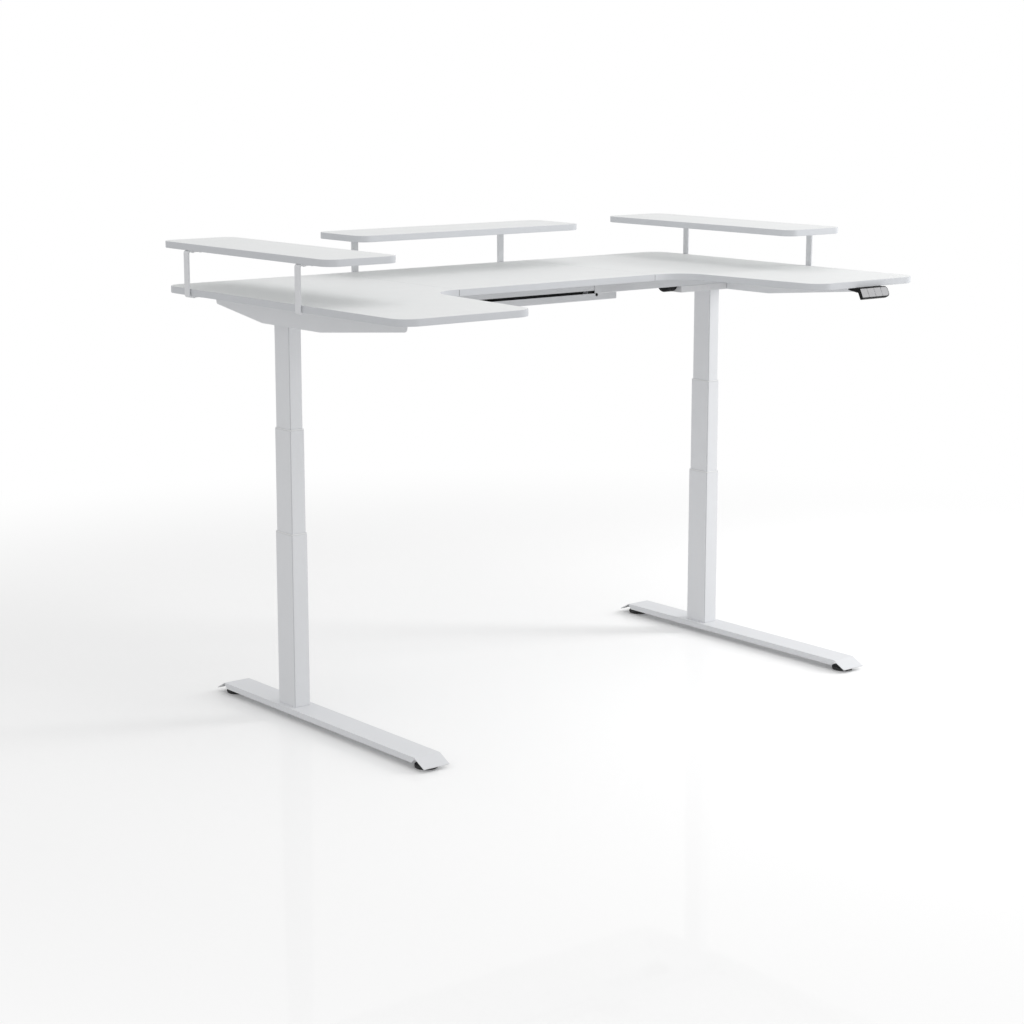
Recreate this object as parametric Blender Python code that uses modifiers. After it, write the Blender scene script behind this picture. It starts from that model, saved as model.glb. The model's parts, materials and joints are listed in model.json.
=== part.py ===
"""Electric sit-stand desk with a u-shaped top and three raised shelves.

A centre board and two forward wings make the top. It stands on two columns of
three nested tubes each, driven by a motor and a pair of spindles. A telescoping
beam joins the columns below the top and carries a cable tray.

Metres, +Z up, +X to the right, -Y towards the user. The origin is on the floor,
midway across the top and midway between its front and rear edges.
"""

import math

import bmesh
import bpy
from mathutils import Matrix, Vector

# Clearances
GAP = 0.0003                    # between pieces that touch
RUNNING_GAP = 0.0005            # between pieces that slide or turn on each other

# Boards of the top
TOP_WIDTH = 1.80
TOP_DEPTH = 1.10
BOARD = 0.018
BOARD_EDGE = 0.0012             # rounding of a board's edges
SEAM = 0.0005                   # between neighbouring boards
SEAM_EDGE = 0.2                 # share of the rounding that a seam edge gets
CENTRE_WIDTH = 0.70
CENTRE_DEPTH = 0.60
BAY_REAR_WIDTH = 0.904          # of the user's bay, between its inner corners
BAY_FRONT_WIDTH = 0.990
OUTER_CORNER = 0.055
INNER_CORNER = 0.095

# Raised shelves and their bent risers
SHELF_LENGTH = 0.80
SHELF_DEPTH = 0.222
SHELF_CORNER = 0.036
SHELF_CLEAR = 0.1025            # from the top's surface to a shelf's underside
SHELF_OVERHANG = 0.005          # past the edge of the top
RISER_WIDTH = 0.022
RISER_THICK = 0.005
RISER_BEND = 0.003              # inner radius of its bends
RISER_REACH = 0.060             # length of its flanges, from its outer face
RISER_SPREAD = 0.267            # from the shelf's middle to each riser
RISER_OFF_EDGE = 0.0015         # from the top's edge to the post
RISER_SCREWS = (0.022, 0.046)   # from its outer face

# Lifting columns
COLUMN_INSET = 0.145            # from the top's side edge to the column's axis
COLUMN_FROM_REAR = 0.387
OUTER_TUBE = (0.050, 0.080)     # across, front to back
MIDDLE_TUBE = (0.045, 0.075)
INNER_TUBE = (0.040, 0.070)
TUBE_WALL = 0.0015
TUBE_CORNER = 0.004
OUTER_LENGTH = 0.4718
LOW_CLEAR = 0.008               # below the middle tube when the column is down
TUBE_SHORT = 0.012              # the inner tube's end above the middle tube's
COLLAR = 0.0027
COLLAR_LIP = 0.012
COLLAR_STEP = 0.010             # between the collars when the column is down
HEAD_STEP = 0.0065              # between the upper collar and the head then
STAGE_LIFT = 0.27               # how far each stage is raised in the model

# Spindle drive inside a column
DRIVE_RADIUS = 0.005
HOLLOW_RADIUS = 0.010
LOWER_GUIDE_RADIUS = 0.0135
UPPER_GUIDE_RADIUS = 0.0165
GUIDE_WALL = 0.0025
GUIDE_FLANGE = 0.004
NUT_HEIGHT = 0.010
NUT_SPIGOT = 0.005
NUT_BELOW_TOP = 0.006           # from the middle tube's end to the nut
THRUST_COLLAR = 0.006
THRUST_LEDGE = 0.004
LOWER_NUT = 0.040               # narrow length at the lower guide's end
THREAD_HOLD = 0.030             # thread left in a nut when the column is up
STAGE_LEFT = 0.055              # travel left above the modelled height

# Frame under the top
SHEET = 0.0025
SHEET_BEND = 0.0015
SIDE_PLATE_OUT = 0.045          # from the column's axis to the outer face of its web
SIDE_PLATE_DEPTH = 0.0631       # below the top, at the column
SIDE_PLATE_FRONT_DEPTH = 0.0288
SIDE_PLATE_REAR_DEPTH = 0.0301
SIDE_PLATE_FRONT = 0.119        # from the top's front edge
SIDE_PLATE_REAR = 0.098         # from the top's rear edge
SIDE_PLATE_SLANT = 0.011
SIDE_PLATE_NOSE = 0.012
SIDE_PLATE_FLAT_FRONT = 0.221   # its deep stretch ahead of the column
SIDE_PLATE_FLAT_REAR = 0.052
SIDE_FLANGE = 0.035
FLANGE_SCREW_END = 0.032        # from the bracket's ends
FLANGE_SCREW_MIDDLE = (-0.323, 0.117)   # from the column's axis
BEAM_WIDTH = 0.087
BEAM_HEIGHT = 0.0406
CENTRE_RAIL_HEIGHT = 0.0304
CENTRE_RAIL_LENGTH = 0.80
END_RAIL_INNER_END = 0.271
CLAMP_BOLT_X = 0.335
CLAMP_BOLT_SPREAD = 0.022
JOINING_PLATE = (0.110, 0.420, 0.002)
JOINING_SCREW_SPREAD = (0.035, 0.190)
JOINING_SCREW_ROWS = 3

# Column head, with the gearbox, and motor
HEAD_REACH = 0.144              # from the column's axis to its inner end
HEAD_HEIGHT = 0.0191
HEAD_SOCKET = 0.015
HEAD_CORNER = 0.003
GEAR_HOUSING_WIDTH = 0.056
GEAR_HOUSING_OUT = 0.035        # from the column's axis to its outer end
HEAD_BOLT_SPREAD = 0.0355
HEAD_BOLTS = (-0.127, 0.0275)   # from the column's axis
SPINDLE_BORE_TOP = 0.020        # below the top of the gear housing
MOTOR_RADIUS = 0.0275
MOTOR_LENGTH = 0.036
MOTOR_CAP = (0.011, 0.005)
MOTOR_SHAFT = (0.004, 0.010)
MOTOR_UNDERCUT = 0.0006         # from the head's lower face up to the motor

# Cable tray and control box
TRAY_LENGTH = 0.706
TRAY_HEIGHT = 0.0195
TRAY_SHEET = 0.0015
TRAY_BELOW_BEAM = 0.0006
HANGER_X = 0.267
HANGER_WIDTH = 0.032
HANGER_SHEET = 0.002
HANGER_BOLT_SPREAD = 0.024
TRAY_BOLT_X = 0.277
TRAY_BOLT_DROP = 0.0040         # below the tray's upper edge
HANGER_BOLT_X = 0.260
CONTROL_BOX = (0.330, 0.070, 0.032)
CONTROL_BOX_X = 0.070
CONTROL_BOX_EDGE = 0.003

# Feet and levelling glides
FOOT_TOP = 0.0323
FOOT_WIDTH = 0.080
FOOT_HEIGHT = 0.0158
FOOT_SHEET = 0.002
FOOT_FRONT = 0.6015             # from the column's axis to the front bend
FOOT_REAR = 0.295
FOOT_TOE = 0.0405
FOOT_HEEL = 0.0383
FOOT_DROP = 0.0205              # of the sloping ends
FOOT_NOTCH = 0.014              # slant of the side walls' ends
GLIDE_RADIUS = 0.030
GLIDE_HEIGHT = 0.012
GLIDE_TAPER = 0.002
STEM_RADIUS = 0.004
STEM_TIP = 0.029
WELD_NUT = (0.0075, 0.0062)     # radius, height
GLIDE_INSET = 0.003             # from a bend to the glide's axis
FOOT_BOLTS = (0.016, 0.030)     # spread across, front to back

# Fasteners
WOOD_SCREW = (0.002, 0.0155)    # shank radius, length under the head
WOOD_SCREW_HEAD = (0.004, 0.0024)
BOLT_RADIUS = 0.003
BOLT_HEAD = (0.005, 0.0035)
TRAY_BOLT_HEAD = (0.0035, 0.002)
TRAY_BOLT = (0.002, 0.0065)

# Handset under the right wing
HANDSET_FROM_SIDE = 0.1464      # from the top's side edge to its right end
HANDSET_WIDTH = 0.111
HANDSET_FACE = 0.0315
HANDSET_THICK = 0.011
HANDSET_TILT = math.radians(26.3)
HANDSET_AHEAD = 0.013           # of the wing's edge, at the top of its face
HANDSET_RISE = 0.0008           # of that point above the top's underside
HANDSET_END = 0.012
HANDSET_EDGE = 0.001
HANDSET_REACH = 0.030           # of its flange under the wing
HANDSET_FLANGE = (0.0075, 0.0125)   # thickness behind, in front
KEYS = 4
KEY_MARGIN = (0.0012, 0.0026)
KEY_GAP = 0.0004
KEY_THICK = 0.0019
KEY_POCKET = 0.0032
KEY_CORNER = 0.0006

# Roundness of curved shapes
ARC_STEP = math.radians(23)
TURNED_STEPS = 16
SCREW_STEPS = 6

# Finishes: colour, roughness, metallic
LAMINATE = ((0.83, 0.84, 0.83), 0.45, 0.0)
WHITE_STEEL = ((0.80, 0.80, 0.80), 0.40, 0.0)
GREY_CASTING = ((0.62, 0.62, 0.63), 0.45, 0.1)
BARE_STEEL = ((0.55, 0.55, 0.56), 0.30, 0.9)
BLACK_PLASTIC = ((0.02, 0.02, 0.022), 0.45, 0.0)
GREY_PLASTIC = ((0.62, 0.62, 0.63), 0.40, 0.0)
WHITE_PLASTIC = ((0.72, 0.72, 0.73), 0.50, 0.0)
BRONZE = ((0.55, 0.38, 0.17), 0.35, 0.9)

# Places that follow from the sizes
HALF_WIDTH = TOP_WIDTH / 2
REAR = TOP_DEPTH / 2
FRONT = -REAR
COLUMN_X = HALF_WIDTH - COLUMN_INSET
COLUMN_Y = REAR - COLUMN_FROM_REAR
SIDE_PLATE_X = COLUMN_X + SIDE_PLATE_OUT
HEAD_INNER_END = COLUMN_X - HEAD_REACH
HANDSET_LEFT = HALF_WIDTH - HANDSET_FROM_SIDE - HANDSET_WIDTH
OUTER_TOP = FOOT_TOP + GAP + OUTER_LENGTH
OUTER_COLLAR_TOP = OUTER_TOP + GAP + COLLAR
MIDDLE_COLLAR_TOP = OUTER_COLLAR_TOP + COLLAR_STEP + STAGE_LIFT
MIDDLE_TOP = MIDDLE_COLLAR_TOP - COLLAR - GAP
MIDDLE_BOTTOM = FOOT_TOP + LOW_CLEAR + STAGE_LIFT
INNER_BOTTOM = MIDDLE_BOTTOM + TUBE_SHORT + STAGE_LIFT
HEAD_BOTTOM = MIDDLE_COLLAR_TOP + HEAD_STEP + STAGE_LIFT
HEAD_TOP = HEAD_BOTTOM + HEAD_HEIGHT
TOP_UNDER = HEAD_BOTTOM + SIDE_PLATE_DEPTH
TOP_SURFACE = TOP_UNDER + BOARD
SHELF_UNDER = TOP_SURFACE + SHELF_CLEAR
FLANGE_UNDER = TOP_UNDER - GAP - SHEET
BEAM_TOP = FLANGE_UNDER - GAP
BEAM_BOTTOM = BEAM_TOP - BEAM_HEIGHT
CENTRE_RAIL_TOP = BEAM_TOP - SHEET - GAP
CENTRE_RAIL_WIDTH = BEAM_WIDTH - 2 * (SHEET + GAP)
TRAY_TOP = BEAM_BOTTOM - TRAY_BELOW_BEAM
TRAY_BOTTOM = TRAY_TOP - TRAY_HEIGHT
GEAR_HOUSING_TOP = CENTRE_RAIL_TOP - GAP
DRIVE_TOP = GEAR_HOUSING_TOP - SPINDLE_BORE_TOP
BOLT_TOP = TOP_UNDER - 2 * GAP
MOTOR_Z = HEAD_BOTTOM + MOTOR_UNDERCUT + MOTOR_RADIUS
SIDES = {"left": -1, "right": 1}

AXIS_X = Vector((1, 0, 0))
AXIS_Y = Vector((0, 1, 0))
AXIS_Z = Vector((0, 0, 1))


def start_scene():
    """Empty the scene and make a collection for the pieces and one for the cutters."""
    for item in list(bpy.data.objects):
        bpy.data.objects.remove(item, do_unlink=True)
    made = []
    for name in ("u_shaped_standing_desk", "cutters"):
        collection = bpy.data.collections.new(name)
        bpy.context.scene.collection.children.link(collection)
        made.append(collection)
    return made


PIECES, CUTTERS = start_scene()


def placed(origin, across, up):
    """Matrix at origin whose local X runs along across and local Y along up."""
    matrix = Matrix((across, up, across.cross(up))).transposed().to_4x4()
    matrix.translation = Vector(origin)
    return matrix


def lying(x, y, z):
    """Place for an outline drawn across and front to back, thick upwards."""
    return placed((x, y, z), AXIS_X, AXIS_Y)


def sideways(x, y=0.0, z=0.0):
    """Place for an outline drawn front to back and upwards, thick across."""
    return placed((x, y, z), AXIS_Y, AXIS_Z)


def facing(y, x=0.0, z=0.0):
    """Place for an outline drawn across and upwards, thick front to back."""
    return placed((x, y, z), AXIS_X, AXIS_Z)


def paint(piece, finish):
    """Give a piece its own material."""
    colour, roughness, metallic = finish
    material = bpy.data.materials.new(piece.name + "_finish")
    material.use_nodes = True
    shader = material.node_tree.nodes["Principled BSDF"]
    shader.inputs["Base Color"].default_value = (*colour, 1.0)
    shader.inputs["Roughness"].default_value = roughness
    shader.inputs["Metallic"].default_value = metallic
    material.diffuse_color = (*colour, 1.0)
    piece.data.materials.clear()
    piece.data.materials.append(material)


def evaluated_mesh(carrier):
    """Mesh of a curve or of an object with modifiers, welded, with faces out."""
    bpy.context.view_layer.update()
    graph = bpy.context.evaluated_depsgraph_get()
    mesh = bpy.data.meshes.new_from_object(carrier.evaluated_get(graph))
    shape = bmesh.new()
    shape.from_mesh(mesh)
    bmesh.ops.remove_doubles(shape, verts=shape.verts, dist=1e-6)
    bmesh.ops.recalc_face_normals(shape, faces=shape.faces)
    shape.to_mesh(mesh)
    shape.free()
    bpy.data.objects.remove(carrier, do_unlink=True)
    return mesh


def add_piece(name, mesh, place, finish):
    """Object for one piece, in the desk's collection."""
    mesh.name = name
    piece = bpy.data.objects.new(name, mesh)
    piece.matrix_world = place
    PIECES.objects.link(piece)
    mesh.shade_smooth()
    mesh.set_sharp_from_angle(angle=math.radians(35))
    paint(piece, finish)
    return piece


def add_cutter(name, mesh, place):
    """Hidden object that a Boolean takes away or adds."""
    mesh.name = name
    cutter = bpy.data.objects.new(name, mesh)
    cutter.matrix_world = place
    cutter.hide_render = True
    cutter.display_type = "WIRE"
    CUTTERS.objects.link(cutter)
    return cutter


def prism_mesh(outlines, thickness):
    """Mesh of a flat outline, with any holes, thick about its plane."""
    curve = bpy.data.curves.new("outline", "CURVE")
    curve.dimensions = "2D"
    curve.fill_mode = "BOTH"
    curve.extrude = thickness / 2
    for points in outlines:
        spline = curve.splines.new("POLY")
        spline.points.add(len(points) - 1)
        for point, (across, up) in zip(spline.points, points):
            point.co = (across, up, 0.0, 1.0)
        spline.use_cyclic_u = True
    carrier = bpy.data.objects.new("outline", curve)
    bpy.context.scene.collection.objects.link(carrier)
    return evaluated_mesh(carrier)


def turned_mesh(profile, steps=TURNED_STEPS, closed=False):
    """Mesh of (radius, height) points, top to bottom, turned about Z."""
    mesh = bpy.data.meshes.new("profile")
    count = len(profile)
    edges = [(index, (index + 1) % count) for index in range(count if closed else count - 1)]
    mesh.from_pydata([(radius, 0.0, height) for radius, height in profile], edges, [])
    carrier = bpy.data.objects.new("profile", mesh)
    bpy.context.scene.collection.objects.link(carrier)
    screw = carrier.modifiers.new("turn", "SCREW")
    screw.angle = 2 * math.pi
    screw.steps = steps
    screw.render_steps = steps
    screw.use_merge_vertices = True
    screw.merge_threshold = 1e-5
    return evaluated_mesh(carrier)


def repeated_mesh(unit, places):
    """One mesh with a copy of the unit at each place."""
    shape = bmesh.new()
    for place in places:
        copy = unit.copy()
        copy.transform(place)
        shape.from_mesh(copy)
        bpy.data.meshes.remove(copy)
    mesh = bpy.data.meshes.new("repeated")
    shape.to_mesh(mesh)
    shape.free()
    return mesh


def combine(piece, other, operation):
    """Boolean of a piece with a cutter."""
    boolean = piece.modifiers.new(operation.lower(), "BOOLEAN")
    boolean.operation = operation
    boolean.solver = "EXACT"
    boolean.object = other


def soften(piece, width, segments=2):
    """Round the sharp edges of a piece."""
    bevel = piece.modifiers.new("edges", "BEVEL")
    bevel.width = width
    bevel.segments = segments
    bevel.limit_method = "ANGLE"
    bevel.angle_limit = math.radians(40)


def rounded_outline(corners, radii):
    """Outline through corners, each replaced by an arc of its own radius."""
    points = []
    count = len(corners)
    for index, radius in enumerate(radii):
        corner = Vector(corners[index])
        arrive = (corner - Vector(corners[index - 1])).normalized()
        leave = (Vector(corners[(index + 1) % count]) - corner).normalized()
        turn = math.atan2(arrive.x * leave.y - arrive.y * leave.x, arrive.dot(leave))
        if radius == 0 or abs(turn) < 1e-6:
            points.append(tuple(corner))
            continue
        side = math.copysign(1.0, turn)
        start = corner - arrive * radius * math.tan(abs(turn) / 2)
        centre = start + Vector((-arrive.y, arrive.x)) * radius * side
        steps = max(2, math.ceil(abs(turn) / ARC_STEP))
        for step in range(steps + 1):
            angle = turn * step / steps
            spoke = start - centre
            points.append((centre.x + spoke.x * math.cos(angle) - spoke.y * math.sin(angle),
                           centre.y + spoke.x * math.sin(angle) + spoke.y * math.cos(angle)))
    return points


def rectangle(width, depth, radius=0.0, x=0.0, y=0.0):
    """Rectangle about (x, y) with rounded corners."""
    across = width / 2
    along = depth / 2
    corners = [(x - across, y - along), (x + across, y - along),
               (x + across, y + along), (x - across, y + along)]
    return rounded_outline(corners, [radius] * 4)


def circle(radius, x=0.0, y=0.0, steps=SCREW_STEPS):
    """Circle about (x, y)."""
    turns = [2 * math.pi * step / steps for step in range(steps)]
    return [(x + radius * math.cos(turn), y + radius * math.sin(turn)) for turn in turns]


def strip_outline(path, thickness, inner_radius):
    """Outline of a bent strip whose middle follows the path."""
    points = [Vector(point) for point in path]
    sides = {1: [], -1: []}
    radii = {1: [], -1: []}
    last = len(points) - 1
    for index, point in enumerate(points):
        arrive = (point - points[max(index - 1, 0)]).normalized()
        leave = (points[min(index + 1, last)] - point).normalized()
        arrive = leave if index == 0 else arrive
        leave = arrive if index == last else leave
        turn = math.atan2(arrive.x * leave.y - arrive.y * leave.x, arrive.dot(leave))
        mitre = (Vector((-arrive.y, arrive.x)) + Vector((-leave.y, leave.x))).normalized()
        reach = thickness / 2 / math.cos(turn / 2)
        for side in sides:
            sides[side].append(tuple(point + mitre * reach * side))
            outside = turn * side < 0
            bend = inner_radius + (thickness if outside else 0.0)
            radii[side].append(0.0 if index in (0, last) or abs(turn) < 1e-6 else bend)
    corners = sides[-1] + sides[1][::-1]
    return rounded_outline(corners, radii[-1] + radii[1][::-1])


def fastener_mesh(head, shank_radius, length):
    """Screw or bolt with its head down and the head's bearing face at Z = 0."""
    head_radius, head_height = head
    profile = [(0.0, length), (shank_radius, length), (shank_radius, 0.0),
               (head_radius, 0.0), (head_radius, -head_height), (0.0, -head_height)]
    return turned_mesh(profile, SCREW_STEPS)


def hole_mesh(radius, bottom, top, steps=SCREW_STEPS):
    """Plain cylinder about Z that cuts a hole from bottom to top."""
    return turned_mesh([(0.0, top), (radius, top), (radius, bottom), (0.0, bottom)], steps)


def drill(piece, name, radius, bottom, top, points, steps=SCREW_STEPS):
    """Cut vertical holes of one radius at the points."""
    unit = hole_mesh(radius, bottom, top, steps)
    places = [Matrix.Translation((x, y, 0.0)) for x, y in points]
    cutter = add_cutter(name, repeated_mesh(unit, places), Matrix())
    combine(piece, cutter, "DIFFERENCE")


def riser_spots():
    """Each riser's name, the point on the top's edge and the way out from it."""
    side_middle = REAR - SHELF_LENGTH / 2
    spots = []
    for side, sign in SIDES.items():
        for end, along in (("front", -1), ("rear", 1)):
            edge = Vector((sign * HALF_WIDTH, side_middle + along * RISER_SPREAD))
            spots.append((f"{side}_{end}_riser", edge, Vector((sign, 0))))
    for side, sign in SIDES.items():
        edge = Vector((sign * RISER_SPREAD, REAR))
        spots.append((f"back_{side}_riser", edge, Vector((0, 1))))
    return spots


def riser_screw_points(edge, outward):
    """Where a riser's screws stand, in plan."""
    face = edge + outward * (RISER_OFF_EDGE + RISER_THICK)
    return [tuple(face - outward * reach) for reach in RISER_SCREWS]


def flange_screw_points(sign):
    """Where the screws through a side bracket's flange stand, in plan."""
    x = sign * (SIDE_PLATE_X - SIDE_FLANGE / 2)
    ends = [FRONT + SIDE_PLATE_FRONT + FLANGE_SCREW_END, REAR - SIDE_PLATE_REAR - FLANGE_SCREW_END]
    return [(x, y) for y in ends + [COLUMN_Y + along for along in FLANGE_SCREW_MIDDLE]]


def joining_screw_points(sign):
    """Where the screws of the joining plate under one seam stand, in plan."""
    across, along = JOINING_SCREW_SPREAD
    seam = sign * CENTRE_WIDTH / 2
    middle = REAR - CENTRE_DEPTH / 2
    rows = [along * (2 * row / (JOINING_SCREW_ROWS - 1) - 1) for row in range(JOINING_SCREW_ROWS)]
    return [(seam + x, middle + y) for x in (-across, across) for y in rows]


def round_board(board, seams):
    """Round a board's upper and lower edges, and its seam edges only a little."""
    mesh = board.data
    weights = mesh.attributes.new("bevel_weight_edge", "FLOAT", "EDGE")
    for edge in mesh.edges:
        ends = [mesh.vertices[index].co for index in edge.vertices]
        level = abs(ends[0].z - ends[1].z) < 1e-6
        outline = level and len([face for face in mesh.polygons if edge.key in face.edge_keys
                                 and abs(face.normal.z) > 0.5]) == 1
        on_seam = any(all(abs(end.x - seam) < 1e-5 for end in ends) for seam in seams)
        if outline:
            weights.data[edge.index].value = SEAM_EDGE if on_seam else 1.0
    bevel = board.modifiers.new("edges", "BEVEL")
    bevel.width = BOARD_EDGE
    bevel.limit_method = "WEIGHT"


def drill_board(board, under, points):
    """Cut the pilot holes for the wood screws into a board's underside."""
    radius, length = WOOD_SCREW
    drill(board, board.name + "_pilot_holes", radius + GAP, under - BOARD / 2, under + length,
          points)


def build_top():
    """Centre board and the two wings."""
    seam = (CENTRE_WIDTH + SEAM) / 2
    level = TOP_UNDER + BOARD / 2
    centre_front = REAR - CENTRE_DEPTH
    risers = {name: riser_screw_points(edge, outward) for name, edge, outward in riser_spots()}
    for side, sign in SIDES.items():
        corners = [(sign * seam, centre_front),
                   (sign * BAY_REAR_WIDTH / 2, centre_front),
                   (sign * BAY_FRONT_WIDTH / 2, FRONT),
                   (sign * HALF_WIDTH, FRONT),
                   (sign * HALF_WIDTH, REAR),
                   (sign * seam, REAR)]
        radii = [0.0, INNER_CORNER, OUTER_CORNER, OUTER_CORNER, OUTER_CORNER, 0.0]
        outline = rounded_outline(corners, radii)
        wing = add_piece(f"desktop_{side}_wing", prism_mesh([outline], BOARD),
                         lying(0, 0, level), LAMINATE)
        round_board(wing, [sign * seam])
        points = risers[f"{side}_front_riser"] + risers[f"{side}_rear_riser"]
        points += flange_screw_points(sign)
        points += [point for point in joining_screw_points(sign) if abs(point[0]) > seam]
        drill_board(wing, TOP_UNDER, points)
    half = seam - SEAM
    outline = [(-half, centre_front), (half, centre_front), (half, REAR), (-half, REAR)]
    centre = add_piece("desktop_centre_panel", prism_mesh([outline], BOARD),
                       lying(0, 0, level), LAMINATE)
    round_board(centre, [])
    points = risers["back_left_riser"] + risers["back_right_riser"]
    for sign in SIDES.values():
        points += [point for point in joining_screw_points(sign) if abs(point[0]) < seam]
    drill_board(centre, TOP_UNDER, points)


def screw_up(piece, seats, points):
    """Add wood screws, fixed in a piece, with their heads below each seat."""
    radius, length = WOOD_SCREW
    unit = fastener_mesh(WOOD_SCREW_HEAD, radius, length)
    places = [Matrix.Translation((x, y, seat + GAP)) for x, y in points for seat in seats]
    cutter = add_cutter(piece.name + "_screws", repeated_mesh(unit, places), Matrix())
    combine(piece, cutter, "UNION")


def build_joining_plates():
    """Flat plates that hold the boards together from below, one under each seam."""
    length, width, thick = JOINING_PLATE
    level = TOP_UNDER - GAP - thick / 2
    for side, sign in SIDES.items():
        mesh = prism_mesh([rectangle(length, width, SHEET)], thick)
        plate = add_piece(f"{side}_joining_plate", mesh,
                          lying(sign * CENTRE_WIDTH / 2, REAR - CENTRE_DEPTH / 2, level), BARE_STEEL)
        screw_up(plate, [level - thick / 2], joining_screw_points(sign))


def build_shelves():
    """Three equal shelves: one over each side edge and one over the rear edge."""
    level = SHELF_UNDER + BOARD / 2
    side_x = HALF_WIDTH + SHELF_OVERHANG - SHELF_DEPTH / 2
    side_y = REAR - SHELF_LENGTH / 2
    rear_y = REAR + SHELF_OVERHANG - SHELF_DEPTH / 2
    spots = {"left_shelf": (-side_x, side_y, SHELF_DEPTH, SHELF_LENGTH),
             "right_shelf": (side_x, side_y, SHELF_DEPTH, SHELF_LENGTH),
             "back_shelf": (0.0, rear_y, SHELF_LENGTH, SHELF_DEPTH)}
    for name, (x, y, width, depth) in spots.items():
        mesh = prism_mesh([rectangle(width, depth, SHELF_CORNER)], BOARD)
        shelf = add_piece(name, mesh, lying(x, y, level), LAMINATE)
        round_board(shelf, [])
        prefix = name.split("_")[0]
        points = []
        for riser, edge, outward in riser_spots():
            if riser.startswith(prefix):
                points += riser_screw_points(edge, outward)
        drill_board(shelf, SHELF_UNDER, points)


def build_risers():
    """Bent flat bars that clasp the top's edge and carry the shelves."""
    post = RISER_OFF_EDGE + RISER_THICK / 2
    flange_end = RISER_OFF_EDGE + RISER_THICK - RISER_REACH
    low = TOP_UNDER - GAP - RISER_THICK / 2
    high = SHELF_UNDER - GAP - RISER_THICK / 2
    path = [(flange_end, low), (post, low), (post, high), (flange_end, high)]
    outline = strip_outline(path, RISER_THICK, RISER_BEND)
    for name, edge, outward in riser_spots():
        out = Vector((outward.x, outward.y, 0))
        mesh = prism_mesh([outline], RISER_WIDTH)
        riser = add_piece(name, mesh, placed((edge.x, edge.y, 0), out, AXIS_Z), WHITE_STEEL)
        screw_up(riser, [low - RISER_THICK / 2, high - RISER_THICK / 2],
                 riser_screw_points(edge, outward))


def build_side_brackets():
    """Folded plates that run front to back over each column and carry the wings."""
    front = FRONT + SIDE_PLATE_FRONT
    rear = REAR - SIDE_PLATE_REAR
    web = SIDE_PLATE_X - SHEET / 2
    top = TOP_UNDER - GAP - SHEET / 2
    fold = [(web, HEAD_BOTTOM - SHEET), (web, top), (SIDE_PLATE_X - SIDE_FLANGE, top)]
    profile = rounded_outline(
        [(front, TOP_UNDER + SHEET), (front, TOP_UNDER - SIDE_PLATE_FRONT_DEPTH),
         (COLUMN_Y - SIDE_PLATE_FLAT_FRONT, HEAD_BOTTOM),
         (COLUMN_Y + SIDE_PLATE_FLAT_REAR, HEAD_BOTTOM),
         (rear - SIDE_PLATE_SLANT, TOP_UNDER - SIDE_PLATE_REAR_DEPTH), (rear, TOP_UNDER + SHEET)],
        [0.0, SIDE_PLATE_NOSE, 0.0, 0.0, SIDE_PLATE_NOSE / 4, 0.0])
    for side, sign in SIDES.items():
        name = f"{side}_side_bracket"
        outline = strip_outline([(sign * x, z) for x, z in fold], SHEET, SHEET_BEND)
        mesh = prism_mesh([outline], rear - front + 2 * SHEET)
        bracket = add_piece(name, mesh, facing((front + rear) / 2), WHITE_STEEL)
        mould = add_cutter(name + "_profile", prism_mesh([profile], 4 * SIDE_FLANGE),
                           sideways(sign * SIDE_PLATE_X))
        combine(bracket, mould, "INTERSECT")
        screw_up(bracket, [FLANGE_UNDER], flange_screw_points(sign))
        drill(bracket, name + "_bolt_holes", BOLT_RADIUS + GAP,
              FLANGE_UNDER - SHEET, TOP_UNDER + SHEET, head_bolt_points(sign)[2:])


def head_bolt_points(sign):
    """Where the bolts through a column head stand, the inner pair first."""
    return [(sign * (COLUMN_X + across), COLUMN_Y + step * HEAD_BOLT_SPREAD)
            for across in HEAD_BOLTS for step in (-1, 1)]


def clamp_bolt_points(sign):
    """Where the bolts that clamp an end rail to the centre rail stand."""
    return [(sign * CLAMP_BOLT_X, COLUMN_Y + step * CLAMP_BOLT_SPREAD) for step in (-1, 1)]


def hanger_bolt_points(sign):
    """Where the bolts that hold one of the tray's hangers stand."""
    return [(sign * HANGER_BOLT_X, COLUMN_Y + step * HANGER_BOLT_SPREAD) for step in (-1, 1)]


def channel_mesh(width, height, length):
    """Rail folded to a channel that is open below, with its top at Z = 0."""
    wall = width / 2 - SHEET / 2
    top = -SHEET / 2
    path = [(-wall, -height), (-wall, top), (wall, top), (wall, -height)]
    return prism_mesh([strip_outline(path, SHEET, SHEET_BEND)], length)


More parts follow.
